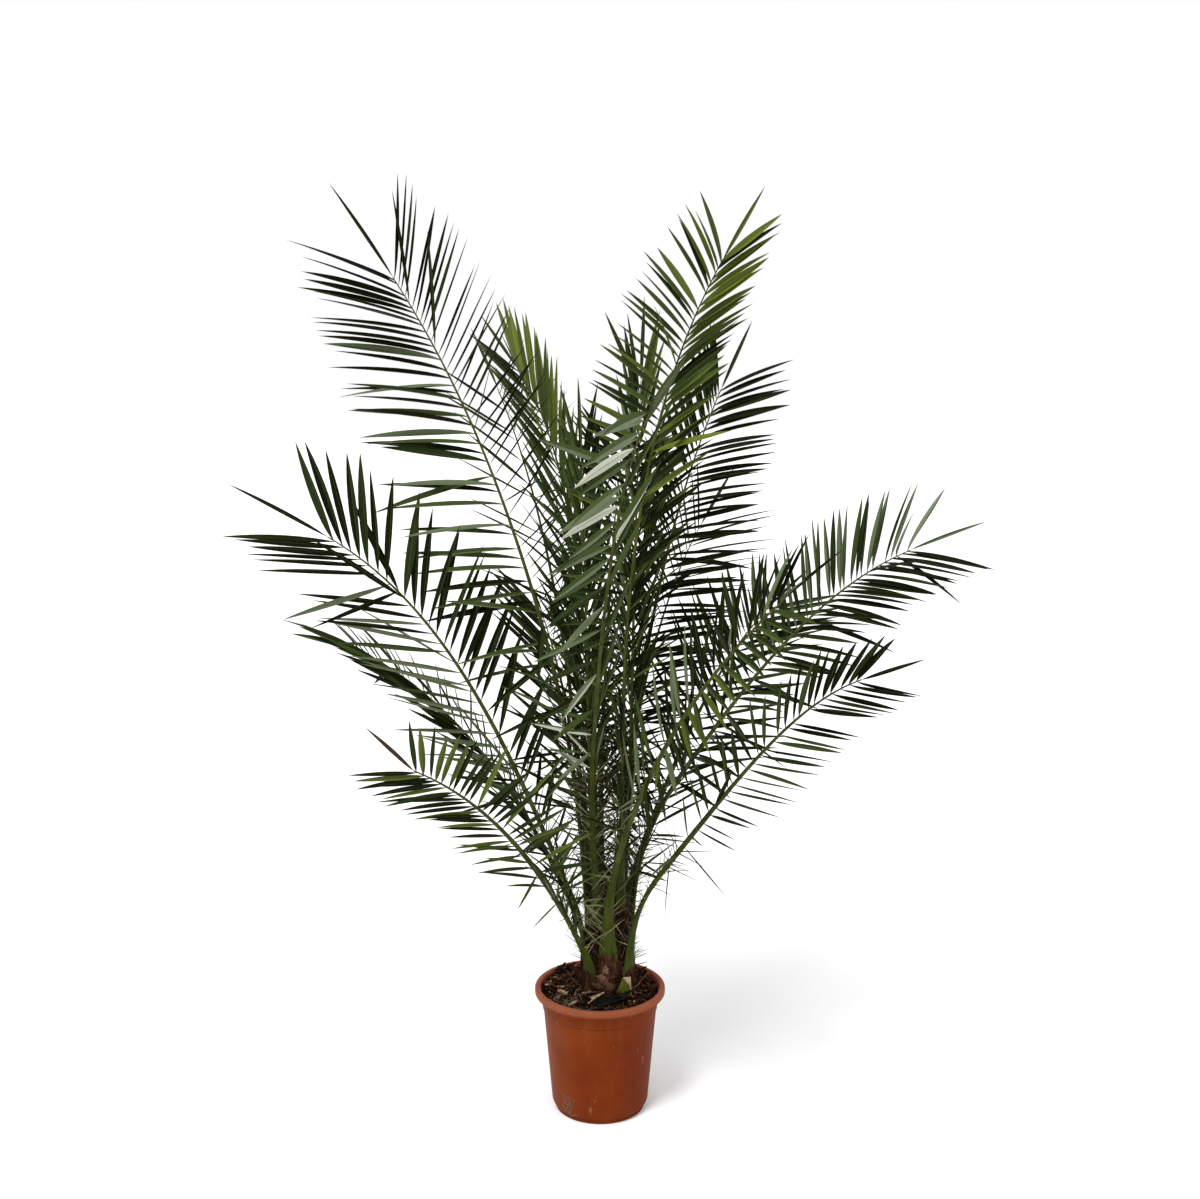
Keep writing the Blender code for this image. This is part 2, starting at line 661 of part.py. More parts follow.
def stub(azimuth, cut_z, width, number, finish):
    """An old leaf base cut off short, with a slanting cut face."""
    radial = unit(at(1, azimuth, 0))
    level = np.array([-radial[1], radial[0], 0])
    lean = math.radians(STUB_LEAN)
    tangent = math.sin(lean) * radial + math.cos(lean) * np.array([0, 0, 1])
    face = np.cross(tangent, level)
    top = at(trunk_radius(cut_z) + STUB_THICKNESS, azimuth, cut_z, TRUNK_X)
    half, thick = width / 2, STUB_THICKNESS / 2
    rise = math.tan(math.radians(STUB_CUT)) * half
    high = [top + half * level - rise * tangent, top + thick * face,
            top - half * level + rise * tangent, top - thick * face]
    foot = top - tangent * STUB_LENGTH - radial * BOOT_INSET
    low = [foot + half * level, foot + thick * face, foot - half * level, foot - thick * face]
    low = [np.array([p[0], p[1], max(p[2], TRUNK_FOOT_Z + STUB_LEAST_RISE)]) for p in low]
    return stem_block(f"stub_{number}", low, high, finish)


def build_trunk():
    finish = material("trunk_fibre", FIBRE_BROWN, 0.95)
    chance = random.Random("trunk")
    rings = []
    for z, radius in TRUNK_PROFILE:
        spread = [radius + chance.uniform(-TRUNK_ROUGHNESS, TRUNK_ROUGHNESS) for _ in range(TRUNK_SEGMENTS)]
        rings.append([at(r, 360 * k / TRUNK_SEGMENTS, z, TRUNK_X) for k, r in enumerate(spread)])
    core = capped_rings("trunk_core", rings, finish)
    extras = [boot(frond, finish) for frond in FRONDS]
    extras += [stub(*row, number, finish) for number, row in enumerate(STUBS)]
    return joined(core, "trunk", extras)


def main():
    clear_scene()
    space = Space()
    solids = [build_pot(), build_soil(), build_trunk()]
    for solid in solids:
        points = [v.co for v in solid.data.vertices]
        space.add(solid.name, points, [tuple(p.vertices) for p in solid.data.polygons])
    build_fronds(space)


main()
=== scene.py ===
"""The looks of a potted date palm: fine leaflets, fibrous trunk, mulch and a moulded pot, over the CAD frame.

Lengths are in metres and angles in degrees. +Z is up and the photograph's camera looks along +Y.
The fronds stand and bend as the CAD fronds do. Their leaflets follow the CAD blades' rule too, but finer,
closer together and more loosely, and they start lower on the stalk.
"""

import random
from collections import namedtuple
from math import cos, degrees, exp, hypot, pi, radians, sin, sqrt

import bpy
import numpy as np
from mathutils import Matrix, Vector, noise
from mathutils.bvhtree import BVHTree

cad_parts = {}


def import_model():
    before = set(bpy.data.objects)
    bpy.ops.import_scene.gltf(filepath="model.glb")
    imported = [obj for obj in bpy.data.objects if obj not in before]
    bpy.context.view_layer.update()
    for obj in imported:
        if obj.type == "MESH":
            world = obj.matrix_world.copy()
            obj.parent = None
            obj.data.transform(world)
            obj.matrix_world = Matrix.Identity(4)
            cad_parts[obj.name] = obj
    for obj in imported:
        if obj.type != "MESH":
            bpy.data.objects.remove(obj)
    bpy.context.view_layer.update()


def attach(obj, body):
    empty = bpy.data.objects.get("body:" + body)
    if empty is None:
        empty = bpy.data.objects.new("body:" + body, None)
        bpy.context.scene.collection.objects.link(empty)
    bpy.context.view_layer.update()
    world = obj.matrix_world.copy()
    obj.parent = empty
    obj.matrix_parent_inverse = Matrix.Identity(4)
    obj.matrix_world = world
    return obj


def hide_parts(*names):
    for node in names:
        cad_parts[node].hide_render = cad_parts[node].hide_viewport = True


# Camera, as read from the ellipses of the pot's rim, step and foot
CAMERA_PLACE = (0.0, -3.16, 1.69)
CAMERA_TILT = 81.0
FOCAL_PIXELS = 1447
PICTURE_WIDTH = 1200
SENSOR_WIDTH = 36.0

# Pot
POT_HEIGHT = 0.290
POT_FOOT_RADIUS = 0.1035
POT_FOOT_HEIGHT = 0.010
POT_FOOT_STEP = 0.004
POT_WALL_FOOT_RADIUS = 0.1110
POT_WALL_FOOT_Z = 0.018
POT_WALL_SLOPE = 0.087
POT_WALL = 0.003
POT_HOLLOW = 0.003
POT_INSIDE_Z = 0.2  # as far down as the inside is made
POT_STEP_Z = 0.239
POT_STEP = 0.0018
RIM_RADIUS = 0.150
RIM_BOTTOM_Z = 0.2725
RIM_INNER_RADIUS = 0.1375
RIM_ROUND = 0.0063
RIM_LIP = 0.003
RIM_LIP_ROUND = 0.0042
POT_SEGMENTS = 192

# Mulch
SOIL_Z = 0.2840
SOIL_BUMP = 0.0055
SOIL_BUMP_RAMP = 0.012
SOIL_EDGE_DROP = 0.0035
SOIL_EDGE_FROM = 0.100
SOIL_EDGE_WIDTH = 0.025
SOIL_RADIUS = 0.1312
SOIL_ROUGHNESS = 0.0050
# Heaps on the mulch: x, y, height, width
MOUNDS = (
    (-0.095, 0.075, 0.008, 0.030),
    (-0.070, -0.060, 0.004, 0.035),
    (-0.040, -0.040, 0.008, 0.030),
    (0.020, -0.075, 0.007, 0.022),
    (0.105, -0.010, 0.004, 0.030),
    (0.060, 0.090, 0.006, 0.035),
    (-0.020, 0.095, 0.006, 0.035),
)
CHIP_COUNT = 2200
LARGE_CHIPS = 520
CHIP_LENGTHS = ((0.003, 0.011), (0.010, 0.030))  # of small and of large ones
CHIP_MIX = (1,) * 9 + (2,) * 6 + (3,)  # material numbers, as often as each occurs
ROOT_COUNT = 330
ROOT_LENGTH = (0.015, 0.05)
ROOT_STEPS = 8
# Scraps on the mulch, chips and then dark film: place, length, width, heading, material number, lift, rise
SCRAPS = (
    (-0.022, -0.090, 0.036, 0.020, 24, 3, 0.015, 0.15),
    (-0.028, -0.106, 0.046, 0.005, 42, 3, 0.013, 0.15),
    (-0.106, 0.060, 0.040, 0.026, 50, 1, 0.016, 0.15),
    (-0.100, 0.078, 0.034, 0.022, -15, 1, 0.017, 0.15),
    (-0.082, 0.082, 0.030, 0.018, 20, 1, 0.015, 0.15),
    (-0.074, 0.092, 0.022, 0.014, -10, 3, 0.014, 0.15),
    (0.098, -0.030, 0.026, 0.014, 70, 2, 0.004, 0.15),
    (0.085, -0.062, 0.030, 0.013, 20, 1, 0.004, 0.15),
    (-0.060, -0.085, 0.024, 0.012, -35, 2, 0.003, 0.15),
    (-0.016, -0.100, 0.074, 0.040, 8, 5, 0.011, 0.10),
    (0.020, -0.094, 0.062, 0.036, 20, 5, 0.011, 0.10),
    (-0.006, -0.110, 0.066, 0.024, 4, 5, 0.011, 0.10),
)
TANGLE = (-0.078, -0.062, 0.030)  # place and radius of a knot of pale roots
TANGLE_COUNT = 42
TANGLE_STEP = 0.004
RIM_ROOTS = (238, 247, 251)  # azimuths of roots that hang over the rim
RIM_ROOT_PATH = (  # radius and height, up to the point where they hang free
    (0.118, SOIL_Z),
    (0.130, SOIL_Z + 0.003),
    (0.139, POT_HEIGHT + 0.001),
    (0.146, POT_HEIGHT + 0.0015),
    (RIM_RADIUS + 0.0012, POT_HEIGHT - 0.005),
)
RIM_ROOT_REACH = (0.012, 0.026)
RIM_ROOT_RADIUS = 0.0006
WALL_ROOTS = (228, 232, 0.012, 0.066)  # stray roots low on the pot's wall: azimuths and heights between them
WALL_ROOT_COUNT = 14

# Trunk
TRUNK_X = 0.020
TRUNK_FLAT_RADIUS = 0.076
TRUNK_TOP_Z = 0.560
TRUNK_PROFILE = (
    (SOIL_Z, 0.0680),
    (0.290, 0.0655),
    (0.310, 0.0620),
    (0.340, 0.0560),
    (0.380, 0.0500),
    (0.420, 0.0450),
    (0.460, 0.0405),
    (0.500, 0.0360),
    (0.540, 0.0280),
    (TRUNK_TOP_Z, 0.0160),
)
FOOT_STANDOFF = 0.008
RELIEF = (0.0030, 0.0018)  # depth of the trunk's ridges and of its finer lumps
FIBRE_COUNT = 1500
FIBRE_LENGTH = (0.02, 0.06)
COLLAR_STRANDS = 46
STRAW_COUNT = 34
STRAW_LENGTH = (0.060, 0.125)
STRAW_BOX = ((-0.030, 0.034), (-0.078, -0.048), (0.425, 0.530))  # where their middles lie
BUNCH_COUNT = 190
BUNCH_LENGTH = (0.020, 0.055)
BUNCH_HEIGHTS = (0.330, 0.540)
CAUDEX_STRANDS = 260
CAUDEX_LENGTH = 0.03
CAUDEX_TOP_Z = 0.335
# Strands by kind: radius from and to, material numbers to choose from, sides
STRANDS = {
    "fibre": ((0.0004, 0.0009), (0, 0, 0, 1, 1, 1, 2), 3),
    "collar": ((0.0004, 0.0010), (0, 0, 0, 1, 1), 3),
    "caudex": ((0.0005, 0.0011), (0, 0, 1, 1, 1), 3),
    "straw": ((0.0005, 0.0008), (7,), 4),
    "bunch": ((0.0005, 0.0009), (6,), 4),
    "root": ((0.0003, 0.0008), (1, 2, 2, 4), 3),
    "stray": ((0.0004, 0.0008), (4,), 3),
}
# Papery scraps round the foot: azimuth, height, length, width, lean from upright, material number
PAPERS = (
    (264, 0.320, 0.050, 0.030, 10, 8),
    (258, 0.312, 0.046, 0.044, 26, 8),
    (250, 0.304, 0.046, 0.036, 44, 3),
    (244, 0.296, 0.044, 0.030, 62, 8),
    (272, 0.300, 0.040, 0.030, 30, 3),
    (318, 0.290, 0.040, 0.036, 35, 3),
    (350, 0.290, 0.044, 0.036, 30, 3),
    (20, 0.290, 0.040, 0.040, 35, 1),
    (80, 0.288, 0.048, 0.044, 25, 3),
    (130, 0.290, 0.040, 0.040, 40, 3),
    (165, 0.292, 0.046, 0.040, 30, 1),
    (200, 0.290, 0.040, 0.036, 35, 3),
)
CUT_STUB = (297, 0.290)  # azimuth and height of the old leaf base in front
# Its corners, to the right, forward and up from its foot, and its faces: material number, and corners by row
STUB_CORNERS = {
    "apex": (-0.004, 0.002, 0.048),
    "top_right": (0.017, 0.000, 0.045),
    "low_right": (0.016, 0.006, 0.015),
    "cut_foot": (0.012, 0.013, 0.006),
    "cut_inner": (0.008, 0.012, 0.030),
    "left": (-0.022, 0.004, 0.017),
    "low_left": (-0.015, 0.010, 0.002),
    "back": (0.000, -0.015, 0.035),
}
STUB_FACES = (
    (4, (("apex", "apex"), ("left", "cut_inner"), ("low_left", "cut_foot"))),
    (5, (("apex", "top_right"), ("cut_inner", "low_right"), ("cut_foot", "low_right"))),
    (4, (("apex", "top_right"), ("back", "back"))),
    (4, (("apex", "left"), ("back", "low_left"))),
    (4, (("top_right", "low_right"), ("back", "back"))),
)

# Leaflets
LEAFLET_LENGTH = 0.255
LEAFLET_SAG = 0.035
LEAFLET_WIDTH = 0.0172
FOOT_WIDTH = 0.76  # shares of it at the foot and at the tip of a blade
TIP_WIDTH = 1.16
LEAST_ANGLE = 9
ROOT_OUT = 0.55  # how far out on the rib and up its ridge a leaflet is rooted
ROOT_UP = 0.35
LENGTH_SPREAD = (0.92, 1.03)
WIDTH_SPREAD = (0.8, 1.1)
LIFT_SPREAD = 2
LOUVRE_SPREAD = 14
DROOP_SPREAD = (0.4, 1.3)
SAG_SPREAD = 0.02
BEND_SPREAD = 0.035
TWIST_SPREAD = 22
HALF_ARCH = 0.10
TERMINAL_LENGTH = 0.9  # shares of a leaflet's length and width, for the one at the tip
TERMINAL_WIDTH = 0.6
TERMINAL_TWIST = 10
CLEARANCE = 0.0006
EARLY_LEAFLETS = 0.15  # share of a frond's length by which thin, loose leaflets start before its blade
BARE_STALKS = ("frond_right_low",)  # fronds without such leaflets
CROSSING_LEAFLETS = 12  # further thin ones among them, turned by up to CROSSING_TURN more
CROSSING_SHARE = 0.12  # share of the frond's length past the blade's foot that they reach
CROSSING_TURN = 38
CROSSING_WIDTH = 0.8
CROSSING_SIZE = (0.8, 1.3)
ODD_SHARE = 0.12  # share of the leaflets that stand out of line, by up to this many degrees
ODD_TURN = 24

# Stems and spines
FOOT_LEAN = 4
TURN_SHARE = 0.35
ROLL_FROM = 0.05
ROLL_SHARE = 0.5
SAMPLES = 90
STEM_ROWS = 80
STEM_SIDES = 12
SHEATH_LENGTH = 0.030
SHEATH_WIDTH = 1.10
SHEATH_SHARES = (1.0, 0.75, 0.5, 0.25)
SHEATH_EDGES = (0, 5, 6, 11)  # its faces that are fibrous
COLLAR_DEPTH = 0.055
COLLAR_RAG = 0.010
COLLAR_ROUGHNESS = 0.0015
SPINES_FROM = 0.07
SPINES_STOP = 0.03
SPINE_PITCH = 0.0095
SPINE_LENGTH = (0.045, 0.095)
SPINE_WIDTH = 0.0026
SPINE_ANGLE = (35, 72)
SPINE_LIFT = (-30, 65)
STRAW_SHARE = 0.3  # share of the spines that are straw coloured

# Section of a frond's stem and rib: share of length, half width, height of ridge, depth of keel
RIB_SECTION = (
    (0.00, 0.0165, 0.0040, 0.0065),
    (0.05, 0.0118, 0.0045, 0.0065),
    (0.12, 0.0086, 0.0048, 0.0060),
    (0.30, 0.0062, 0.0042, 0.0052),
    (0.60, 0.0040, 0.0030, 0.0038),
    (1.00, 0.0013, 0.0012, 0.0014),
)

# Leaflets along the blade: share of the blade, angle off the rib, lift out of its plane, share of full
# length, and looseness, the degrees by which they differ
LEAFLET_RULE = (
    (-0.30, 50, 30, 0.38, 34),
    (-0.10, 56, 32, 0.54, 28),
    (0.00, 60, 32, 0.66, 22),
    (0.12, 62, 28, 0.84, 14),
    (0.35, 60, 23, 1.00, 6.5),
    (0.50, 57, 21, 1.00, 5),
    (0.70, 51, 18, 0.97, 3.5),
    (0.85, 46, 15, 0.95, 2.5),
    (1.00, 34, 12, 0.90, 1.5),
)

# Ways round an obstacle, tried in turn: change of angle, change of lift, share of length
DETOURS = (
    (0, 0, 1),
    (0, 7, 1),
    (0, -7, 1),
    (-8, 0, 1),
    (8, 0, 1),
    (-8, 13, 1),
    (-13, -10, 1),
    (0, 20, 0.95),
    (-18, 0, 0.95),
    (0, 0, 0.75),
    (-18, -12, 0.7),
)

# A leaflet's outline: place along it, share of its width, fold of each half out of its plane
LEAFLET_OUTLINE = (
    (0.000, 0.20, 66),
    (0.018, 0.26, 62),
    (0.050, 0.42, 52),
    (0.110, 0.64, 42),
    (0.200, 0.84, 36),
    (0.320, 0.97, 32),
    (0.450, 1.00, 30),
    (0.580, 0.92, 28),
    (0.710, 0.75, 27),
    (0.830, 0.51, 27),
    (0.930, 0.25, 28),
    (1.000, 0.01, 30),
)
LEAFLET_COLUMNS = (-1.0, -0.52, -0.045, 0.045, 0.52, 1.0)

# foot_at, foot_z: place of the foot on the trunk. heading: azimuth the frond leans to. lean: angle from
# upright once past its elbow. arch: further lean gained by the tip, as the bend-th power of the way there.
# roll: twist of the blade about its rib. spread: share of the rule's angle off the rib. skew: how much
# wider the outer side opens. hang: change of lift, less so at the tip. leaf: share of the rule's leaflet
# length. blade: where the blade starts. stout: scale of the section.
Frond = namedtuple(
    "Frond",
    "name foot_at foot_z heading lean arch length elbow bend roll spread skew hang leaf blade stout",
    defaults=(0, 1.0, 0.0, 0, 1.0, 0.30, 1.0),
)

FRONDS = (
    Frond("frond_left_upper", 172, 0.455, 176, 11, 22, 1.51, 0.50, 2.1, roll=-59, spread=1.12, skew=0.06,
          hang=-26, leaf=1.08, stout=0.9),
    Frond("frond_right_upper", 305, 0.490, 338, 0, 30.5, 1.46, 0.06, 2.45, roll=112, skew=-0.33, hang=-6,
          leaf=0.74, stout=0.85),
    Frond("frond_left_middle", 192, 0.385, 198, 22, 36, 1.135, 0.12, 3.0, roll=-80, spread=0.9, skew=-0.15,
          hang=-32, leaf=1.02),
    Frond("frond_right_middle", 28, 0.400, 8, 34.2, 34.6, 1.145, 0.38, 3.4, roll=54, spread=1.12, skew=0.06,
          hang=16, leaf=0.85, blade=0.26),
    Frond("frond_front", 240, 0.450, 281, 12, 55, 1.39, 0.20, 2.25, roll=41, spread=0.98, skew=0.5, hang=-24,
          leaf=0.75, stout=0.9),
    Frond("frond_left_low", 228, 0.340, 218, 28, 34, 0.73, 0.06, 1.8, roll=-112, spread=0.95, skew=-0.35,
          hang=7, leaf=0.68, blade=0.27, stout=1.15),
    Frond("frond_right_low", 316, 0.345, 338, 36, 30, 0.91, 0.31, 5.5, roll=98, spread=0.82, skew=0.07,
          hang=5, leaf=0.62, blade=0.40, stout=1.1),
    Frond("frond_front_right", 268, 0.385, 335, 7, 39, 0.96, 0.06, 1.0, roll=52, spread=1.12, skew=0.33,
          leaf=0.73, blade=0.26, stout=1.35),
    Frond("frond_right_back", 50, 0.460, 35, 6, 23, 1.23, 0.60, 1.9, roll=60, skew=0.2, leaf=0.82, stout=0.9),
    Frond("frond_inner_left", 120, 0.490, 125, 4.5, 46.8, 1.28, 0.06, 3.2, roll=-75, spread=0.47,
          skew=-0.14, leaf=0.98, stout=0.85),
    Frond("frond_left_back_low", 155, 0.370, 152, 24, 49, 0.95, 0.06, 1.3, roll=10, spread=0.8, hang=-20,
          leaf=0.85, blade=0.28),
    Frond("frond_back_right", 78, 0.415, 55, 13, 36, 1.00, 0.06, 2.2, roll=40, skew=0.2, leaf=0.95,
          blade=0.28, stout=0.8),
    Frond("spear_right", 20, 0.530, 72, 3, 4, 1.14, 0.10, 2.0, roll=20, spread=0.30, leaf=0.85, stout=0.7),
    Frond("spear_left", 200, 0.540, 120, 2, 2, 0.95, 0.10, 2.0, roll=-20, spread=0.33, leaf=0.85, stout=0.7),
    Frond("frond_back_left", 140, 0.430, 124, 8, 32, 1.30, 0.30, 2.0, roll=-15, leaf=0.88, stout=0.9),
    Frond("frond_back", 104, 0.425, 84, 18, 38, 1.22, 0.30, 2.0, roll=15, blade=0.26, stout=0.8),
    Frond("frond_back_low", 105, 0.350, 104, 36, 32, 0.98, 0.20, 2.0, roll=20, blade=0.28, stout=1.1),
    Frond("frond_back_right_low", 60, 0.355, 52, 33, 34, 1.00, 0.20, 2.0, roll=25, skew=0.1,
          blade=0.28, stout=1.1),
)

# Leaf tints: a plain base colour and the strength of its sheen. dark and deep are partly the leaflets' own
# deep green and partly painted shade in the crown; grey is their glaucous green with a painted sheen;
# pale, near white, is a painted glint.
TINTS = {
    "dark": ((0.007, 0.010, 0.0025), 0.02),
    "deep": ((0.016, 0.026, 0.005), 0.06),
    "mid": ((0.037, 0.057, 0.010), 0.14),
    "bright": ((0.072, 0.098, 0.010), 0.15),
    "lime": ((0.108, 0.138, 0.010), 0.15),
    "grey": ((0.094, 0.122, 0.056), 0.34),
    "pale": ((0.380, 0.400, 0.320), 0.30),
    "dead": ((0.045, 0.028, 0.016), 0.05),
}
# A leaflet is folded along its midrib, and one half of most is a step darker: painted shade on that half
SHADED = {
    "dark": "dark", "deep": "dark", "mid": "deep", "bright": "mid", "lime": "bright", "grey": "mid",
    "pale": "grey", "dead": "dead",
}
SHADED_SHARE = 0.7
TINT_SPREAD = 0.42
LEAFLET_PARTS = {
    "midrib": ((0.062, 0.075, 0.026), 0.12),
    "pulvinus": ((0.095, 0.108, 0.034), 0.1),
}

# Stalks and fibres: the colours that their grain runs between
STALKS = {
    "rachis": ((0.030, 0.038, 0.007), (0.074, 0.086, 0.019)),
    "petiole": ((0.024, 0.034, 0.003), (0.050, 0.062, 0.007)),
    "spine": ((0.135, 0.138, 0.056), (0.340, 0.315, 0.165)),
    "spine_dark": ((0.030, 0.024, 0.012), (0.080, 0.060, 0.030)),
}
FIBRES = {
    "sheath": ((0.060, 0.026, 0.014), (0.180, 0.100, 0.062)),
    "paper": ((0.085, 0.040, 0.026), (0.270, 0.165, 0.110)),
    "fibre_dark": ((0.008, 0.004, 0.002), (0.028, 0.013, 0.007)),
    "fibre_red": ((0.034, 0.013, 0.007), (0.085, 0.036, 0.018)),
    "fibre_straw": ((0.170, 0.110, 0.055), (0.300, 0.210, 0.120)),
    "mulch": ((0.004, 0.0018, 0.001), (0.017, 0.0075, 0.004)),
    "chip_dark": ((0.005, 0.0022, 0.0013), (0.021, 0.009, 0.005)),
    "chip_brown": ((0.028, 0.011, 0.0055), (0.092, 0.038, 0.020)),
    "chip_pale": ((0.140, 0.090, 0.055), (0.360, 0.270, 0.180)),
    "root": ((0.140, 0.090, 0.058), (0.330, 0.250, 0.180)),
    "cut_face": ((0.200, 0.140, 0.072), (0.430, 0.330, 0.200)),
}
# Their roughness and sheen, the grain's scale, detail and stretch, where it is lightest, and its depth
STALK_GRAIN = (0.5, 0.06, (60, 4, (1, 1, 0.12)), 0.75, 0.0006)
FIBRE_GRAIN = (0.9, 0.04, (160, 5), 0.70, 0.0010)
FILM_COLOUR = (0.003, 0.003, 0.003)
POT_COLOUR = (0.14, 0.021, 0.003)
POT_CLOUDS = ((0.30, (0.118, 0.017, 0.002)), (0.55, (0.153, 0.025, 0.003)), (0.80, (0.180, 0.036, 0.007)))
POT_MARKS = {
    "streaks": (0.23, 0.074, 0.028),
    # painted shade: darker low on the pot's right side
    "painted_shade": (0.105, 0.013, 0.003),
    "dust": (0.225, 0.066, 0.026),
    "scuffs": (0.30, 0.150, 0.090),
    "worn": (0.34, 0.120, 0.066),
    # painted shade: a thin dark band at the step, under its ledge
    "line": (0.050, 0.010, 0.004),
}

# Stage
FLOOR_REACH = 40
FLOOR_COLOUR = (0.86, 0.86, 0.86)
SUN_PLACE = (-0.9, -1.5, 3.2)
SUN_STRENGTH = 2.2
SUN_ANGLE = 16
FILL_PLACE = (2.6, -2.6, 1.6)
FILL_TARGET = (0, 0, 1.0)
FILL_SIZE = 2.0
FILL_POWER = 12

# How a frond's leaflets look. first, second: tints of those on its two sides, from the foot of the blade to
# its tip and mixed by up to TINT_SPREAD of the way. Besides the leaflets' own colour these paint light and
# shade: darker lists on the sides and fronds that lie in shade are painted shade, and grey and pale ones are
# painted sheen and glints. louvre: their turn about their own length. width: share of the full width.
# grown: share of them that grew. These three are each for either side. pitch: distance from one to the next.
# crowd: how much closer together they stand towards the tip. droop: further sag.
Look = namedtuple(
    "Look",
    "first second louvre width pitch grown crowd droop",
    defaults=((50, 50), (0.95, 0.95), 0.025, (0.975, 0.975), 0.1, 0.0),
)
# The rear fronds' dark lists are partly painted shade at the back of the crown
REAR = Look("deep mid dark", "deep dark mid", (50, 50), (0.8, 0.8), 0.028)
LOOKS = {
    "frond_left_upper": Look("grey mid grey deep dark dark", "dark deep dark", (-46, 48), (1.25, 0.66),
                             0.0235, (0.90, 0.95), 0.45),
    "frond_right_upper": Look("dark deep mid bright bright", "dark deep mid bright lime", (-50, -42),
                              (1.0, 1.12), 0.0190, (0.95, 0.95), 0.25),
    "frond_left_middle": Look("grey mid grey deep dark", "deep dark deep", (35, -45), (0.9, 1.15), 0.0270),
    "frond_right_middle": Look("deep mid deep grey", "mid deep dark", (50, -22), (1.0, 1.05), 0.0180,
                               (0.97, 0.97), 0.2),
    "frond_front": Look("deep grey mid pale grey mid", "deep grey mid grey pale grey mid grey", (45, 50),
                        (0.8, 1.1), 0.037, (0.45, 0.97), droop=0.01),
    "frond_left_low": Look("mid deep bright dark", "mid deep bright deep", (-15, -35), (0.62, 0.75), 0.0185),
    "frond_right_low": Look("mid deep dark", "deep mid dark", (45, 50), (0.9, 0.95), 0.0215),
    "frond_front_right": Look("mid deep grey dark", "grey mid deep bright mid", (14, -24)),
    "frond_right_back": Look("dark deep", "dark deep dark dark", (60, -40), (0.8, 1.1), 0.0175),
    "frond_inner_left": Look("deep mid grey mid", "mid bright lime bright", (40, 15), (0.85, 1.0), 0.0230),
    "frond_left_back_low": Look("deep dark mid", "deep dark mid", (50, 50), (0.8, 0.8), 0.0230),
    "frond_back_right": Look("dark deep", "dark deep", (-55, -60), (0.75, 0.75), 0.028),
    "spear_right": Look("mid grey deep", "mid deep bright", (20, 20), (0.65, 0.65), 0.03),
    "spear_left": Look("deep mid", "mid deep dark", (20, 20), (0.65, 0.65), 0.03),
    "frond_back_left": Look("deep dark mid", "deep dark mid", (75, -50), (0.5, 0.6), 0.031, (0.62, 0.85)),
    "frond_back": REAR,
    "frond_back_low": REAR,
    "frond_back_right_low": REAR._replace(louvre=(60, 60)),
}

# Lone leaflets: frond, share of its length, side, turn of its angle, share of full length, and tint
LONE_LEAFLETS = (
    ("frond_right_low", 0.325, -1, 40, 1.8, "deep"),
    ("frond_right_low", 0.355, -1, 44, 1.9, "mid"),
    ("frond_right_low", 0.385, -1, 38, 1.8, "deep"),
)
DEAD_TIP = "frond_left_low"  # its last leaflet is brown, and stands this much steeper
DEAD_TIP_RISE = 0.45


# Small helpers

def at(radius, azimuth, z, x=0.0):
    """A point at this radius and azimuth round an upright axis through x."""
    turn = radians(azimuth)
    return np.array([x + radius * cos(turn), radius * sin(turn), z])


def flat(turn, rise=0.0):
    """The way that this turn points on the level, with this rise."""
    return np.array([cos(turn), sin(turn), rise])


def beside(outward):
    """The level direction a quarter turn on from one that points outward."""
    return np.array([-outward[1], outward[0], 0])


def unit(vector):
    return vector / np.linalg.norm(vector, axis=-1, keepdims=True)


def turned(first, second, turn):
    """Two directions at right angles, turned together in their plane."""
    return first * np.cos(turn) + second * np.sin(turn), second * np.cos(turn) - first * np.sin(turn)


def all_round(count, whole=2 * pi):
    return np.linspace(0, whole, count, endpoint=False)


def diamond(centre, wide, high):
    """Four points round a thin body."""
    return [centre + wide, centre + high, centre - wide, centre - high]


def eased(values):
    """0 up to 0, 1 from 1 on, and a smooth step between."""
    values = np.clip(values, 0, 1)
    return values * values * (3 - 2 * values)


def table(rows, where):
    """Each column after the first of a table of rows, read at these places in its first column."""
    columns = np.array(rows).T
    return [np.interp(where, columns[0], column) for column in columns[1:]]


def rough(point, scale, octaves):
    """Smooth noise from about -1 to 1 that varies over this length."""
    return noise.fractal(Vector(point) / scale, 1.0, 2.0, octaves)


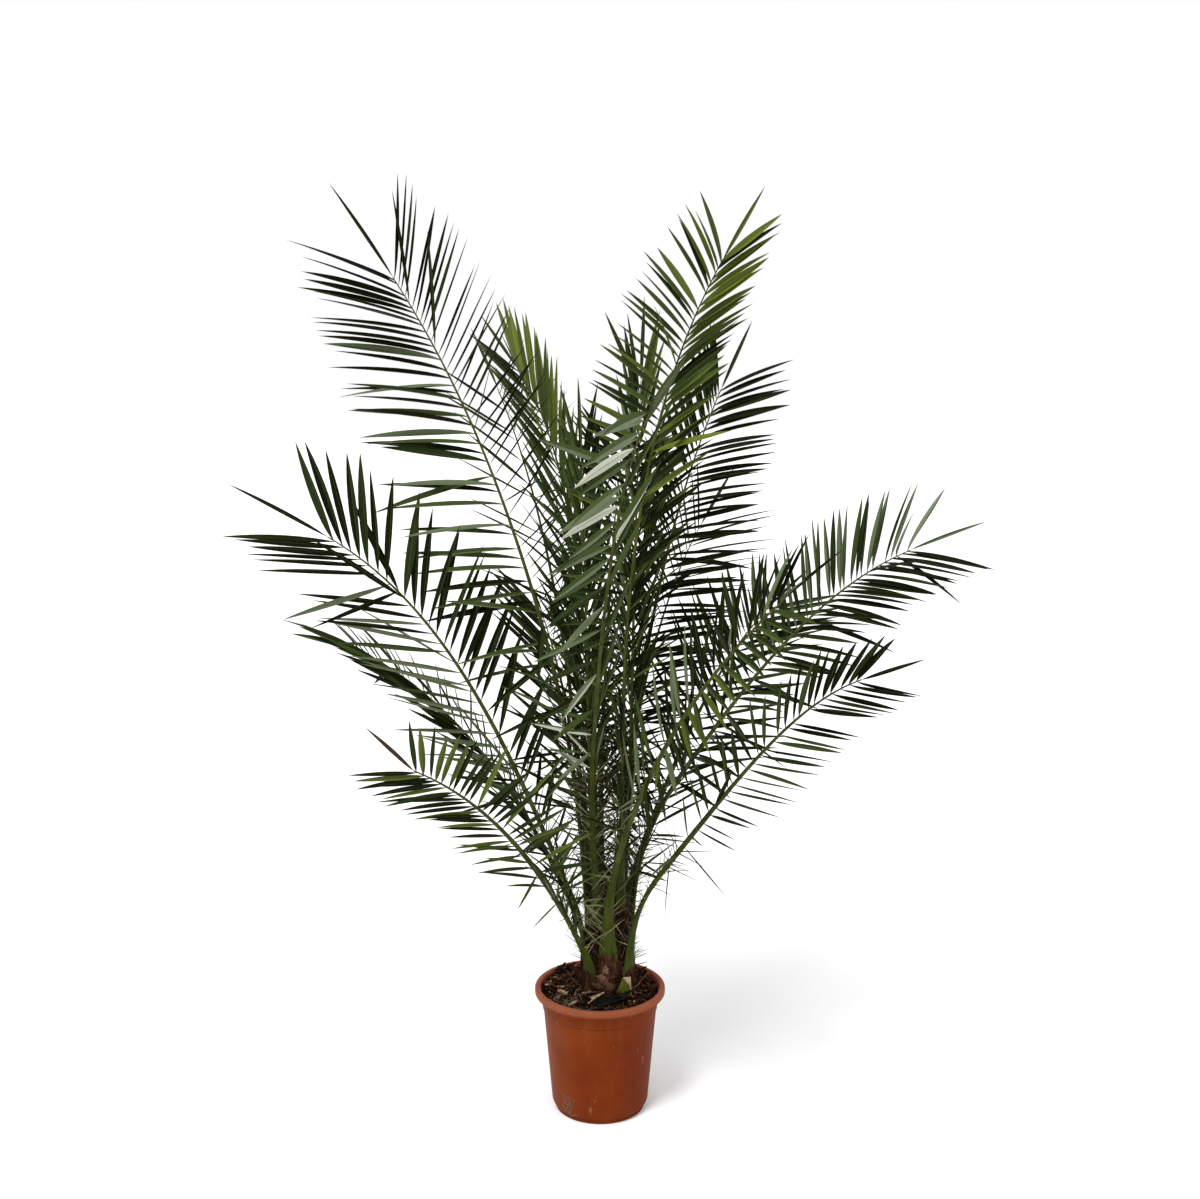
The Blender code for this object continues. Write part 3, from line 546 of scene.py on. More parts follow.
class Piece:
    """Collects grids of points and makes one mesh of them."""

    def __init__(self, name, materials, *names):
        self.name = name
        self.materials = [materials[each] for each in names]
        self.points = []
        self.quads = []
        self.slots = []
        self.uvs = []
        self.size = 0

    def add(self, grid, slots=0, closed=False):
        """Adds grids, an array of count, rows, columns and xyz, with the material numbers of their faces."""
        grid = np.asarray(grid, float)
        if grid.ndim == 3:
            grid = grid[None]
        count, rows, columns = grid.shape[:3]
        cells = columns if closed else columns - 1
        row, cell = np.meshgrid(np.arange(rows - 1), np.arange(cells), indexing="ij")
        after = (cell + 1) % columns
        quad = np.stack([row * columns + cell, row * columns + after,
                         (row + 1) * columns + after, (row + 1) * columns + cell], -1)
        starts = self.size + np.arange(count) * rows * columns
        self.quads.append((quad[None] + starts[:, None, None, None]).reshape(-1, 4))
        across = np.broadcast_to(np.linspace(0, 1, columns), (count, rows, columns))
        length = np.broadcast_to(np.linspace(0, 1, rows)[:, None], (count, rows, columns))
        self.uvs.append(np.stack([across, length], -1).reshape(-1, 2))
        self.slots.append(np.broadcast_to(slots, (count, rows - 1, cells)).reshape(-1))
        self.points.append(grid.reshape(-1, 3))
        self.size += count * rows * columns

    def make(self, node, slot):
        """The object, riding on the plant's one body, in place of a CAD node."""
        quads = np.concatenate(self.quads)
        mesh = bpy.data.meshes.new(self.name)
        mesh.from_pydata(np.concatenate(self.points), [], quads)
        for material in self.materials:
            mesh.materials.append(material)
        mesh.polygons.foreach_set("material_index", np.concatenate(self.slots).astype(np.int32))
        layer = mesh.uv_layers.new(name="along")
        layer.data.foreach_set("uv", np.concatenate(self.uvs)[quads.ravel()].astype(np.float32).ravel())
        mesh.shade_smooth()
        made = bpy.data.objects.new(self.name, mesh)
        bpy.context.scene.collection.objects.link(made)
        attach(made, "root")
        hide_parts(node)


# Materials

def new_material(name, colour, roughness, specular):
    made = bpy.data.materials.new(name)
    made.use_nodes = True
    shader = made.node_tree.nodes["Principled BSDF"]
    shader.inputs["Base Color"].default_value = (*colour, 1)
    shader.inputs["Roughness"].default_value = roughness
    shader.inputs["Specular IOR Level"].default_value = specular
    return made, made.node_tree, shader


def add_node(tree, kind, output, inputs, **settings):
    """One output of a new shader node, whose inputs are values or other nodes' outputs."""
    made = tree.nodes.new("ShaderNode" + kind)
    for name, value in settings.items():
        setattr(made, name, value)
    for name, value in inputs.items():
        if isinstance(value, bpy.types.NodeSocket):
            tree.links.new(value, made.inputs[name])
        else:
            made.inputs[name].default_value = value
    return made.outputs[output]


def add_noise(tree, scale, detail=4, stretch=None, coordinates="Object"):
    """A noise texture on the object's own coordinates, stretched along an axis if asked."""
    place = add_node(tree, "TexCoord", coordinates, {})
    if stretch:
        place = add_node(tree, "Mapping", "Vector", {"Vector": place, "Scale": stretch})
    return add_node(tree, "TexNoise", "Fac", {"Vector": place, "Scale": scale, "Detail": detail})


def add_ramp(tree, value, stops):
    """Colours by value: each stop is a place and a colour."""
    colours = add_node(tree, "ValToRGB", "Color", {"Fac": value})
    elements = colours.node.color_ramp.elements
    for element, (place, colour) in zip((elements[0], elements[1]), (stops[0], stops[-1])):
        element.position = place
        element.color = (*colour, 1)
    for place, colour in stops[1:-1]:
        elements.new(place).color = (*colour, 1)
    return colours


def add_range(tree, value, low, high, start=0, end=1):
    """A value from start to end carried over to low and high."""
    return add_node(tree, "MapRange", "Result", {"Value": value, "From Min": start, "From Max": end,
                                                 "To Min": low, "To Max": high})


def add_product(tree, first, second):
    return add_node(tree, "Math", "Value", {0: first, 1: second}, operation="MULTIPLY")


def add_mix(tree, base, colour, share):
    """A colour laid over another by this share."""
    return add_node(tree, "Mix", "Result", {"A": base, "B": (*colour, 1), "Factor": share}, data_type="RGBA")


def add_bump(tree, shader, value, depth, strength=1.0):
    normal = add_node(tree, "Bump", "Normal", {"Height": value, "Distance": depth, "Strength": strength})
    tree.links.new(normal, shader.inputs["Normal"])


def leaf_material(name, colour, sheen):
    """A waxy leaf: veins that run along it, and a sheen that varies from place to place."""
    made, tree, shader = new_material("leaf_" + name, colour, 0.45, sheen)
    veins = add_noise(tree, 1.0, 2, (26, 1.5, 1), "UV")
    add_bump(tree, shader, veins, 0.0006, 0.6)
    tree.links.new(add_range(tree, add_noise(tree, 38), 0.30, 0.60), shader.inputs["Roughness"])
    return made


def grained_material(name, colour, lighter, grain):
    """Stalk or fibre whose grain runs from one colour to a lighter one, and stands out."""
    roughness, sheen, pattern, light_from, depth = grain
    made, tree, shader = new_material(name, colour, roughness, sheen)
    value = add_noise(tree, *pattern)
    colours = add_ramp(tree, value, ((0.35, colour), (light_from, lighter)))
    tree.links.new(colours, shader.inputs["Base Color"])
    add_bump(tree, shader, value, depth)
    return made


def pot_material():
    """Terracotta-coloured plastic: dusty at its left, darker low on the right as painted shade, with a
    thin line of painted shade at the step, and streaked.
    """
    made, tree, shader = new_material("pot_plastic", POT_COLOUR, 0.42, 0.04)
    place = add_node(tree, "TexCoord", "Object", {})
    x, z = (add_node(tree, "SeparateXYZ", axis, {"Vector": place}) for axis in "XZ")
    cloud = add_noise(tree, 9, 5)
    streaks = add_noise(tree, 42, 3, (1, 1, 0.06))
    streaks = add_ramp(tree, streaks, ((0.52, (0, 0, 0)), (0.80, (1, 1, 1))))
    scuffs = add_noise(tree, 75, 6, (1, 1, 0.5))
    scuffs = add_ramp(tree, scuffs, ((0.66, (0, 0, 0)), (0.74, (1, 1, 1))))
    shares = {
        "streaks": add_range(tree, streaks, 0, 0.22),
        # painted shade, darker to the right and lower down
        "painted_shade": add_product(tree, add_range(tree, x, 0, 0.65, -0.02, 0.09),
                           add_range(tree, z, 1, 0.35, 0.10, 0.22)),
        "dust": add_product(tree, add_range(tree, x, 0.40, 0, -0.13, -0.05),
                            add_range(tree, cloud, 0.4, 1, 0.40, 0.65)),
        "scuffs": add_range(tree, scuffs, 0, 0.35),
        "worn": add_range(tree, z, 0, 0.38, RIM_BOTTOM_Z - 0.001, RIM_BOTTOM_Z + 0.008),
        # painted shade in a thin band at the step
        "line": add_product(tree, add_range(tree, z, 0.75, 0, POT_STEP_Z + 0.0005, POT_STEP_Z + 0.0030),
                            add_range(tree, z, 0, 1, POT_STEP_Z - 0.0010, POT_STEP_Z)),
    }
    body = add_ramp(tree, cloud, POT_CLOUDS)
    for name, share in shares.items():
        body = add_mix(tree, body, POT_MARKS[name], share)
    tree.links.new(body, shader.inputs["Base Color"])
    tree.links.new(add_range(tree, cloud, 0.36, 0.60), shader.inputs["Roughness"])
    add_bump(tree, shader, add_noise(tree, 220, 4), 0.0003)
    return made


def make_materials():
    made = {name: leaf_material(name, *look) for name, look in (TINTS | LEAFLET_PARTS).items()}
    made |= {name: grained_material(name, *colours, STALK_GRAIN) for name, colours in STALKS.items()}
    made |= {name: grained_material(name, *colours, FIBRE_GRAIN) for name, colours in FIBRES.items()}
    made["film"] = new_material("film", FILM_COLOUR, 0.38, 0.15)[0]
    made["pot"] = pot_material()
    return made


# Fronds

def trunk_radius(z):
    return table(TRUNK_PROFILE, z)[0]


def on_trunk(azimuth, z, out):
    """A point this far outside the trunk's smooth surface."""
    return at(trunk_radius(z) + out, azimuth, z, TRUNK_X)


def rib_line(frond):
    """Samples along a frond's rib: share of length, point, and the frame of tangent, side and upper face."""
    s = np.linspace(0, 1, SAMPLES)
    lean = FOOT_LEAN + (frond.lean - FOOT_LEAN) * eased(s / frond.elbow) + frond.arch * s**frond.bend
    heading = frond.foot_at + (frond.heading - frond.foot_at) * eased(s / TURN_SHARE)
    lean, heading = np.radians(lean), np.radians(heading)
    tangent = np.stack([np.sin(lean) * np.cos(heading), np.sin(lean) * np.sin(heading), np.cos(lean)], 1)
    level = np.stack([-np.sin(heading), np.cos(heading), 0 * heading], 1)
    roll = (np.radians(frond.roll) * eased((s - ROLL_FROM) / ROLL_SHARE))[:, None]
    side, face = turned(level, np.cross(tangent, level), roll)
    steps = (tangent[1:] + tangent[:-1]) / 2 * frond.length / (SAMPLES - 1)
    foot = on_trunk(frond.foot_at, frond.foot_z, FOOT_STANDOFF)
    points = np.concatenate([[foot], foot + np.cumsum(steps, 0)])
    return s, points, tangent, side, face


def along(line, share):
    """Point, tangent, side and face at this share of a rib's length."""
    s, *columns = line
    point, tangent, side, face = (np.array([np.interp(share, s, c[:, i]) for i in range(3)]) for c in columns)
    return point, unit(tangent), unit(side), unit(face)


def off_rib(tangent, across, face, angle, lift):
    """The way that stands off a rib by this angle, lifted this far out of the blade's plane."""
    return cos(angle) * tangent + sin(angle) * (cos(lift) * across + sin(lift) * face)


def section(frond, share):
    """Half width, height of ridge and depth of keel of a frond's stem there."""
    return [frond.stout * value for value in table(RIB_SECTION, share)]


Leaflet = namedtuple("Leaflet", "root direction edge upper length width droop bend twist tint shade",
                     defaults=("", ""))


def leaflet_at(frond, look, line, share, side, detour, chance):
    """The leaflet that grows at this share of the rib, on this side."""
    blade = (share - frond.blade) / (1 - frond.blade)
    angle, lift, size, loose = table(LEAFLET_RULE, blade)
    outer = 1 if frond.roll < 0 else -1
    angle = angle * frond.spread * (1 + frond.skew * side * outer) + detour[0]
    loose = loose * frond.spread + (ODD_TURN if chance.random() < ODD_SHARE else 0)
    angle += chance.uniform(-1, 1) * loose
    lift = lift + frond.hang * (1 - blade**4) + detour[1] + LIFT_SPREAD * chance.uniform(-1, 1) * loose
    root, tangent, across, face = along(line, share)
    half, ridge, _ = section(frond, share)
    root = root + side * across * half * ROOT_OUT + face * ridge * ROOT_UP
    direction = off_rib(tangent, side * across, face, radians(max(angle, LEAST_ANGLE)), radians(lift))
    edge = unit(tangent - direction * np.dot(tangent, direction))
    upper = side * np.cross(direction, edge)
    if np.dot(upper, face) < 0:
        upper = -upper
    turn = radians(look.louvre[side < 0] + chance.uniform(-LOUVRE_SPREAD, LOUVRE_SPREAD))
    edge, upper = turned(edge, upper, turn)
    length = LEAFLET_LENGTH * size * frond.leaf * detour[2] * chance.uniform(*LENGTH_SPREAD)
    width = LEAFLET_WIDTH * look.width[side < 0] * min(1, 0.22 + 0.85 * size) * chance.uniform(*WIDTH_SPREAD)
    width *= FOOT_WIDTH + (TIP_WIDTH - FOOT_WIDTH) * max(blade, 0)
    droop = LEAFLET_SAG + look.droop * chance.uniform(*DROOP_SPREAD) + chance.uniform(0, SAG_SPREAD)
    return Leaflet(root, direction, edge, upper, length, width, droop,
                   chance.uniform(-BEND_SPREAD, BEND_SPREAD), chance.uniform(-TWIST_SPREAD, TWIST_SPREAD))


def pick_tint(look, side, way, chance):
    """One of the tints of this side, for a leaflet this share of the way to the tip."""
    names = (look.first if side > 0 else look.second).split()
    place = int(len(names) * (way + chance.uniform(-TINT_SPREAD, TINT_SPREAD)))
    return names[min(max(place, 0), len(names) - 1)]


def tinted(leaflet, tint, chance):
    # Most leaflets get a step darker tint on one folded half, as painted shade
    return leaflet._replace(tint=tint, shade=SHADED[tint] if chance.random() < SHADED_SHARE else tint)


def proxy(leaflet, grow):
    """A leaflet's rough shape as points, faces and a tree, for finding what it would touch."""
    reaches = (leaflet.length * 0.08, leaflet.length * 0.34, leaflet.length + grow)
    start, belly, tip = (leaflet.root + leaflet.direction * reach for reach in reaches)
    tip = tip - (0, 0, leaflet.droop * leaflet.length)
    half = leaflet.width / 2 + grow
    thick = 0.0008 + grow
    points = [start, *diamond(belly, -leaflet.edge * half, leaflet.upper * thick), tip]
    faces = [(0, 1 + k, 1 + (k + 1) % 4) for k in range(4)] + [(1 + k, 5, 1 + (k + 1) % 4) for k in range(4)]
    points = [tuple(p) for p in points]
    return points, faces, BVHTree.FromPolygons(points, faces)


def joined(shapes):
    """One tree of many rough shapes."""
    points, faces = [], []
    for shape_points, shape_faces, _ in shapes:
        faces += [tuple(len(points) + k for k in face) for face in shape_faces]
        points += shape_points
    return BVHTree.FromPolygons(points, faces)


# What grows so far, as trees by frond: stems that nothing may touch, and leaflets to go round where possible
Space = namedtuple("Space", "stems leaflets")


def is_clear(trees, owner, tree):
    """Whether a tree touches none but its owner's."""
    return not any(tree.overlap(other) for name, other in trees.items() if name != owner)


def stem_ring(centre, side, face, half, ridge, keel):
    turns = all_round(STEM_SIDES)
    height = np.where(np.sin(turns) > 0, ridge, keel) * np.sin(turns)
    return centre + np.outer(half * np.cos(turns), side) + np.outer(height, face)


def sheath_rings(frond, line):
    """Rings from inside the trunk up to the foot, wide and wrapped round the trunk below."""
    point, _, side, face = along(line, 0.0)
    inward = -unit(at(1, frond.foot_at, 0))
    half, ridge, keel = section(frond, 0.0)
    rings = []
    for share in SHEATH_SHARES:
        z = max(point[2] - share * SHEATH_LENGTH, SOIL_Z + 0.004 - 0.002 * share)
        centre = on_trunk(frond.foot_at, z, FOOT_STANDOFF * (1 - 0.9 * share))
        width = half * (1 + (SHEATH_WIDTH - 1) * share)
        wrap = (width * np.cos(all_round(STEM_SIDES))) ** 2 / (2 * trunk_radius(z)) * share
        rings.append(stem_ring(centre, side, face, width, ridge, keel) + np.outer(wrap, inward))
    return rings


def add_stem(piece, frond, line):
    """Petiole and rib in one, from its sheath on the trunk to the tip."""
    rings = sheath_rings(frond, line)
    for share in np.linspace(0, 1, STEM_ROWS) ** 1.2:
        point, _, side, face = along(line, share)
        rings.append(stem_ring(point, side, face, *section(frond, share)))
    foot = len(SHEATH_SHARES)
    slots = np.full((len(rings) - 1, STEM_SIDES), 1)
    slots[0] = 2
    slots[1:foot, SHEATH_EDGES] = 2
    slots[int(foot + (STEM_ROWS - foot) * frond.blade ** 0.8):] = 0
    piece.add(rings, slots, closed=True)
    return np.array(rings)


def place_leaflet(frond, look, line, share, side, space, chance, lone):
    """A leaflet and its rough shape, on the first way that leaves stems and, if possible, leaflets clear."""
    turn, size = lone
    state = chance.getstate()
    second_best = None
    for angle, lift, cut in DETOURS:
        chance.setstate(state)
        leaflet = leaflet_at(frond, look, line, share, side, (angle + turn, lift, cut * size), chance)
        shape = proxy(leaflet, CLEARANCE)
        if not is_clear(space.stems, frond.name, shape[2]):
            continue
        second_best = second_best or (leaflet, shape)
        if is_clear(space.leaflets, frond.name, shape[2]):
            return leaflet, shape
    return second_best


def grow_leaflets(frond, line, space, chance):
    """Every leaflet of a frond: in pairs along the blade, thinning out below it, and one at the tip."""
    look = LOOKS[frond.name]
    bare = frond.name in BARE_STALKS
    start = frond.blade - (0 if bare else EARLY_LEAFLETS)
    grown, shapes = [], []

    def grow(share, side, tint, lone=(0, 1), width=1.0):
        placed = place_leaflet(frond, look, line, share, side, space, chance, lone)
        if placed:
            leaflet, shape = placed
            grown.append(tinted(leaflet._replace(width=leaflet.width * width), tint, chance))
            shapes.append(shape)

    pairs = round(frond.length * (1 - start) / look.pitch)
    for pair in range(pairs):
        for side in (1, -1):
            if chance.random() > look.grown[side < 0]:
                continue
            way = (pair + 0.5 + chance.uniform(-0.25, 0.25)) / pairs
            share = start + (1 - start) * (way + look.crowd * way * (1 - way))
            grow(share, side, pick_tint(look, side, way, chance))
    for _ in range(CROSSING_LEAFLETS):
        share = chance.uniform(start, frond.blade + CROSSING_SHARE)
        side = chance.choice((1, -1))
        tint = pick_tint(look, side, 0.5, chance)
        lone = (chance.uniform(-CROSSING_TURN, CROSSING_TURN), chance.uniform(*CROSSING_SIZE))
        if not bare:
            grow(share, side, tint, lone, CROSSING_WIDTH)
    for name, share, side, turn, size, tint in LONE_LEAFLETS:
        if name == frond.name:
            grow(share, side, tint, (turn, size))
    point, tangent, side, face = along(line, 1.0)
    tint = look.first.split()[-1]
    if frond.name == DEAD_TIP:
        tint = "dead"
        tangent = unit(tangent + (0, 0, DEAD_TIP_RISE))
    tip = Leaflet(point, tangent, side, face, LEAFLET_LENGTH * frond.leaf * TERMINAL_LENGTH,
                  LEAFLET_WIDTH * TERMINAL_WIDTH, LEAFLET_SAG, 0, TERMINAL_TWIST)
    grown.append(tinted(tip, tint, chance))
    space.leaflets[frond.name] = joined(shapes)
    return grown


def add_leaflets(piece, leaflets, tints):
    """The leaflets as folded blades with a paler midrib and root; on most, one half is painted shade."""
    place, share, fold = (np.array(column) for column in zip(*LEAFLET_OUTLINE))
    *columns, tint, shade = zip(*leaflets)
    root, direction, edge, upper = (np.array(column)[:, None, None] for column in columns[:4])
    length, width, droop, bend, twist = (np.array(column)[:, None, None, None] for column in columns[4:])
    t = place[None, :, None, None]
    centre = root + direction * length * t + edge * bend * length * t**2
    centre = centre - np.array([0, 0, 1.0]) * droop * length * t**2
    level, up = turned(edge, upper, np.radians(twist) * t)
    half = width / 2 * share[None, :, None, None]
    fold = np.radians(fold)[None, :, None, None]
    across = np.array(LEAFLET_COLUMNS)[None, None, :, None]
    rise = np.abs(across) * np.sin(fold) + HALF_ARCH * np.sin(pi * np.abs(across))
    grid = centre + level * half * across * np.cos(fold) + up * half * rise
    slots = np.empty((len(leaflets), len(place) - 1, len(LEAFLET_COLUMNS) - 1), int)
    slots[:, :, :2] = np.array([tints.index(name) for name in tint])[:, None, None]
    # The second half takes the shade tint: painted shade, a step darker, on most leaflets
    slots[:, :, 3:] = np.array([tints.index(name) for name in shade])[:, None, None]
    slots[:, :, 2] = len(tints)
    slots[:, 0] = len(tints) + 1
    piece.add(grid, slots)


def add_spines(piece, frond, line, space, chance):
    """Stiff spines along both edges of the petiole, longer towards the blade."""
    share = SPINES_FROM
    while share < frond.blade - SPINES_STOP:
        for side in (1, -1):
            root, tangent, across, face = along(line, share)
            angle = radians(chance.uniform(*SPINE_ANGLE))
            lift = radians(chance.uniform(*SPINE_LIFT))
            direction = off_rib(tangent, side * across, face, angle, lift)
            way = min((share - SPINES_FROM) / (frond.blade - SPINES_FROM), 1)
            length = (SPINE_LENGTH[0] + (SPINE_LENGTH[1] - SPINE_LENGTH[0]) * way) * chance.uniform(0.6, 1.15)
            start = root + side * across * section(frond, share)[0] * 0.8
            tip = start + direction * length
            ray = [tuple(point) for point in (start + direction * 0.004, tip, tip + (0, 0, 0.001))]
            if not is_clear(space.stems, frond.name, BVHTree.FromPolygons(ray, [(0, 1, 2)])):
                continue
            width = SPINE_WIDTH * chance.uniform(0.7, 1.1)
            level = unit(np.cross(direction, face))
            up = np.cross(level, direction)
            bend = chance.uniform(-0.05, 0.05)
            rings = []
            for t, w in ((0, 1.15), (0.15, 1.0), (0.6, 0.62), (1, 0.08)):
                centre = start + direction * length * t + level * bend * length * t * t
                rings.append(diamond(centre, level * width / 2 * w, up * width / 4 * w))
            piece.add(rings, 3 if chance.random() < STRAW_SHARE else 4, closed=True)
        share += SPINE_PITCH / frond.length * chance.uniform(0.5, 1.5)


def build_fronds(materials):
    space = Space({}, {})
    lines = {frond.name: rib_line(frond) for frond in FRONDS}
    stems = {}
    for frond in FRONDS:
        piece = Piece(frond.name + "_stem", materials, "rachis", "petiole", "sheath", "spine", "spine_dark")
        rings = add_stem(piece, frond, lines[frond.name])
        stems[frond.name] = piece
        points = [tuple(p) for p in rings.reshape(-1, 3)]
        space.stems[frond.name] = BVHTree.FromPolygons(points, [tuple(map(int, q)) for q in piece.quads[0]])
    tints = sorted(TINTS)
    for frond in FRONDS:
        chance = random.Random(frond.name)
        line = lines[frond.name]
        add_spines(stems[frond.name], frond, line, space, chance)
        stems[frond.name].make(frond.name, "leaf")
        piece = Piece(frond.name + "_leaflets", materials, *tints, "midrib", "pulvinus")
        add_leaflets(piece, grow_leaflets(frond, line, space, chance), tints)
        piece.make(frond.name, "leaf")


# Trunk

def add_strand(piece, path, radius, slot, sides=3):
    """A thin strand along these points, tapering to its ends."""
    path = np.asarray(path, float)
    tangent = unit(np.gradient(path, axis=0))
    level = unit(np.cross(tangent, (0.3, 0.2, 1.0)) + 1e-9)
    up = np.cross(level, tangent)
    turns = all_round(sides)
    taper = radius * (0.35 + 0.65 * np.sin(np.linspace(0.25, pi - 0.1, len(path))))
    rings = path[:, None] + taper[:, None, None] * (
        np.cos(turns)[None, :, None] * level[:, None] + np.sin(turns)[None, :, None] * up[:, None])
    piece.add(rings, slot, closed=True)


def straight(start, way, low, high):
    """Five points along this way, from low to high shares of it past the start."""
    return [start + way * t for t in np.linspace(low, high, 5)]


def add_kind(piece, path, kind, chance):
    """A strand as thick, as round and of a material as its kind has them."""
    radius, slots, sides = STRANDS[kind]
    radius = chance.uniform(*radius)
    add_strand(piece, path, radius, slots[0] if len(slots) == 1 else chance.choice(slots), sides)


def trunk_relief(azimuth, z):
    """How far the trunk's matted surface stands out there."""
    turn = radians(azimuth)
    ridge = rough((cos(turn) * 0.06, sin(turn) * 0.06, z * 0.35), 0.012, 4)
    return RELIEF[0] * ridge + RELIEF[1] * rough((cos(turn), sin(turn), z * 9), 0.20, 3)


def add_flake(piece, root, direction, outward, length, width, slot, chance):
    """A papery scrap: broad at its root, curled across and torn towards its tip."""
    direction = unit(direction)
    side = unit(np.cross(direction, outward))
    up = np.cross(side, direction)
    curl = chance.uniform(0.15, 0.5)
    rings = []
    for t in np.linspace(0, 1, 9):
        half = width / 2 * (1 - t) ** 0.6 * chance.uniform(0.72, 1.12)
        centre = root + direction * length * t + up * length * 0.25 * curl * t * t
        row = []
        for c in np.linspace(-1, 1, 7):
            wave = 0.06 * width * chance.uniform(-1, 1) * t
            row.append(centre + side * half * c - up * (half * curl * c * c - wave))
        rings.append(row)
    piece.add(rings, slot)


def add_collar(piece, frond, chance):
    """The fibrous remains of a leaf sheath that wrap the foot of a frond."""
    half = frond.stout * RIB_SECTION[0][1]
    outward = unit(at(1, frond.foot_at, 0))
    level = beside(outward)

    def wrapped(t, turn, reach, sunk):
        """A point t of the way up the collar, at this turn round the petiole and this reach from it."""
        z = max(frond.foot_z - COLLAR_DEPTH * (1 - t) + 0.004, SOIL_Z - sunk)
        centre = on_trunk(frond.foot_at, z, FOOT_STANDOFF * min(t, 1))
        return centre + level * reach * sin(turn) + outward * reach * (0.75 * cos(turn) - 0.35)

    rings = []
    for t in np.linspace(0, 1, 8):
        row = []
        for turn in np.linspace(-1.9, 1.9, 15):
            ragged = COLLAR_RAG * chance.random() * (t > 0.9)
            row.append(wrapped(t, turn, half * (1.18 - 0.14 * t), 0.004) + (0, 0, ragged)
                       + outward * COLLAR_ROUGHNESS * chance.uniform(-1, 1))
        rings.append(row)
    piece.add(rings, chance.choice((0, 0, 1)))
    for _ in range(COLLAR_STRANDS):
        turn = chance.uniform(-1.8, 1.8)
        slant = chance.uniform(-0.9, 0.9)
        start = chance.uniform(-0.2, 0.6)
        path = []
        for t in np.linspace(start, start + chance.uniform(0.5, 1.1), 6):
            reach = half * (1.26 - 0.12 * t) + 0.0025 * chance.random()
            path.append(wrapped(t, turn + slant * (t - start), reach, 0.002))
        add_kind(piece, path, "collar", chance)


def add_trunk_spines(piece, chance):
    """Straw-coloured spines that cross in front of the trunk, and short dark ones that stand out of it."""
    for _ in range(STRAW_COUNT):
        middle = np.array([chance.uniform(*low_high) for low_high in STRAW_BOX])
        turn = radians(chance.choice((-1, 1)) * chance.uniform(28, 60))
        direction = unit(np.array([sin(turn), chance.uniform(-0.25, 0.10), cos(turn)]))
        length = chance.uniform(*STRAW_LENGTH)
        add_kind(piece, straight(middle, direction * length, -0.5, 0.5), "straw", chance)
    for _ in range(BUNCH_COUNT):
        azimuth = chance.uniform(0, 360)
        z = chance.uniform(*BUNCH_HEIGHTS)
        outward = at(1, azimuth, 0)
        turn = radians(chance.choice((-1, 1)) * chance.uniform(32, 58))
        direction = unit(beside(outward) * sin(turn) + (0, 0, cos(turn)) + outward * chance.uniform(0.3, 1.0))
        root = on_trunk(azimuth, z, 0.004)
        length = chance.uniform(*BUNCH_LENGTH)
        add_kind(piece, straight(root, direction * length, 0, 1), "bunch", chance)


def add_cut_stub(piece):
    """The old leaf base in front: a green wedge, cut off on its right to a pale face."""
    azimuth, foot_z = CUT_STUB
    outward = at(1, azimuth, 0)
    foot = on_trunk(azimuth, foot_z, 0.010)
    corner = {name: foot + beside(outward) * across + outward * forward + (0, 0, up)
              for name, (across, forward, up) in STUB_CORNERS.items()}
    for slot, rows in STUB_FACES:
        piece.add([[corner[name] for name in row] for row in rows], slot)


def add_fibre(piece, chance):
    """A fibre that winds up round the trunk."""
    azimuth = chance.uniform(0, 360)
    z = SOIL_Z + 0.004 + (TRUNK_TOP_Z - SOIL_Z - 0.02) * chance.random() ** 1.2
    slope = chance.choice((-1, 1)) * chance.uniform(0.2, 1.2)
    length = chance.uniform(*FIBRE_LENGTH)
    stand = chance.uniform(0.0005, 0.004)
    path = []
    for t in np.linspace(0, 1, 6):
        height = min(z + length * t, TRUNK_TOP_Z + 0.01)
        way = azimuth + degrees(slope * length * t / trunk_radius(height))
        path.append(on_trunk(way, height, stand + 0.006 * t * t * chance.random()))
    add_kind(piece, path, "fibre", chance)


def add_caudex_strand(piece, chance):
    """A strand in the mat at the foot of the trunk, on the side of the photograph's camera."""
    azimuth = chance.uniform(180, 360)
    z = chance.uniform(SOIL_Z, CAUDEX_TOP_Z)
    turn = chance.uniform(-40, 40)
    path = []
    for t in np.linspace(0, 1, 6):
        out = 0.003 + 0.004 * chance.random()
        path.append(on_trunk(azimuth + turn * t, z + CAUDEX_LENGTH * t * cos(radians(turn)), out))
    add_kind(piece, path, "caudex", chance)


def build_trunk(materials):
    chance = random.Random("trunk")
    piece = Piece("trunk_bark", materials, "fibre_dark", "fibre_red", "fibre_straw", "sheath", "petiole",
                  "cut_face", "spine_dark", "spine", "paper")
    azimuths = all_round(120, 360)
    rings = [[on_trunk(a, z, trunk_relief(a, z)) for a in azimuths]
             for z in np.linspace(SOIL_Z + 0.0005, TRUNK_TOP_Z, 90)]
    rings.append([at(0.001, a, TRUNK_TOP_Z, TRUNK_X) for a in azimuths])
    piece.add(rings, 0, closed=True)
    for _ in range(FIBRE_COUNT):
        add_fibre(piece, chance)
    for frond in FRONDS:
        add_collar(piece, frond, chance)
    for _ in range(CAUDEX_STRANDS):
        add_caudex_strand(piece, chance)
    add_trunk_spines(piece, chance)
    for azimuth, z, length, width, lean, slot in PAPERS:
        outward = at(1, azimuth, 0)
        direction = outward * sin(radians(lean)) + (0, 0, cos(radians(lean)))
        add_flake(piece, on_trunk(azimuth, z, 0.002), direction, outward, length, width, slot, chance)
    add_cut_stub(piece)
    piece.make("trunk", "trunk_fibre")


# Mulch

def ramp(value):
    return min(max(value, 0), 1)


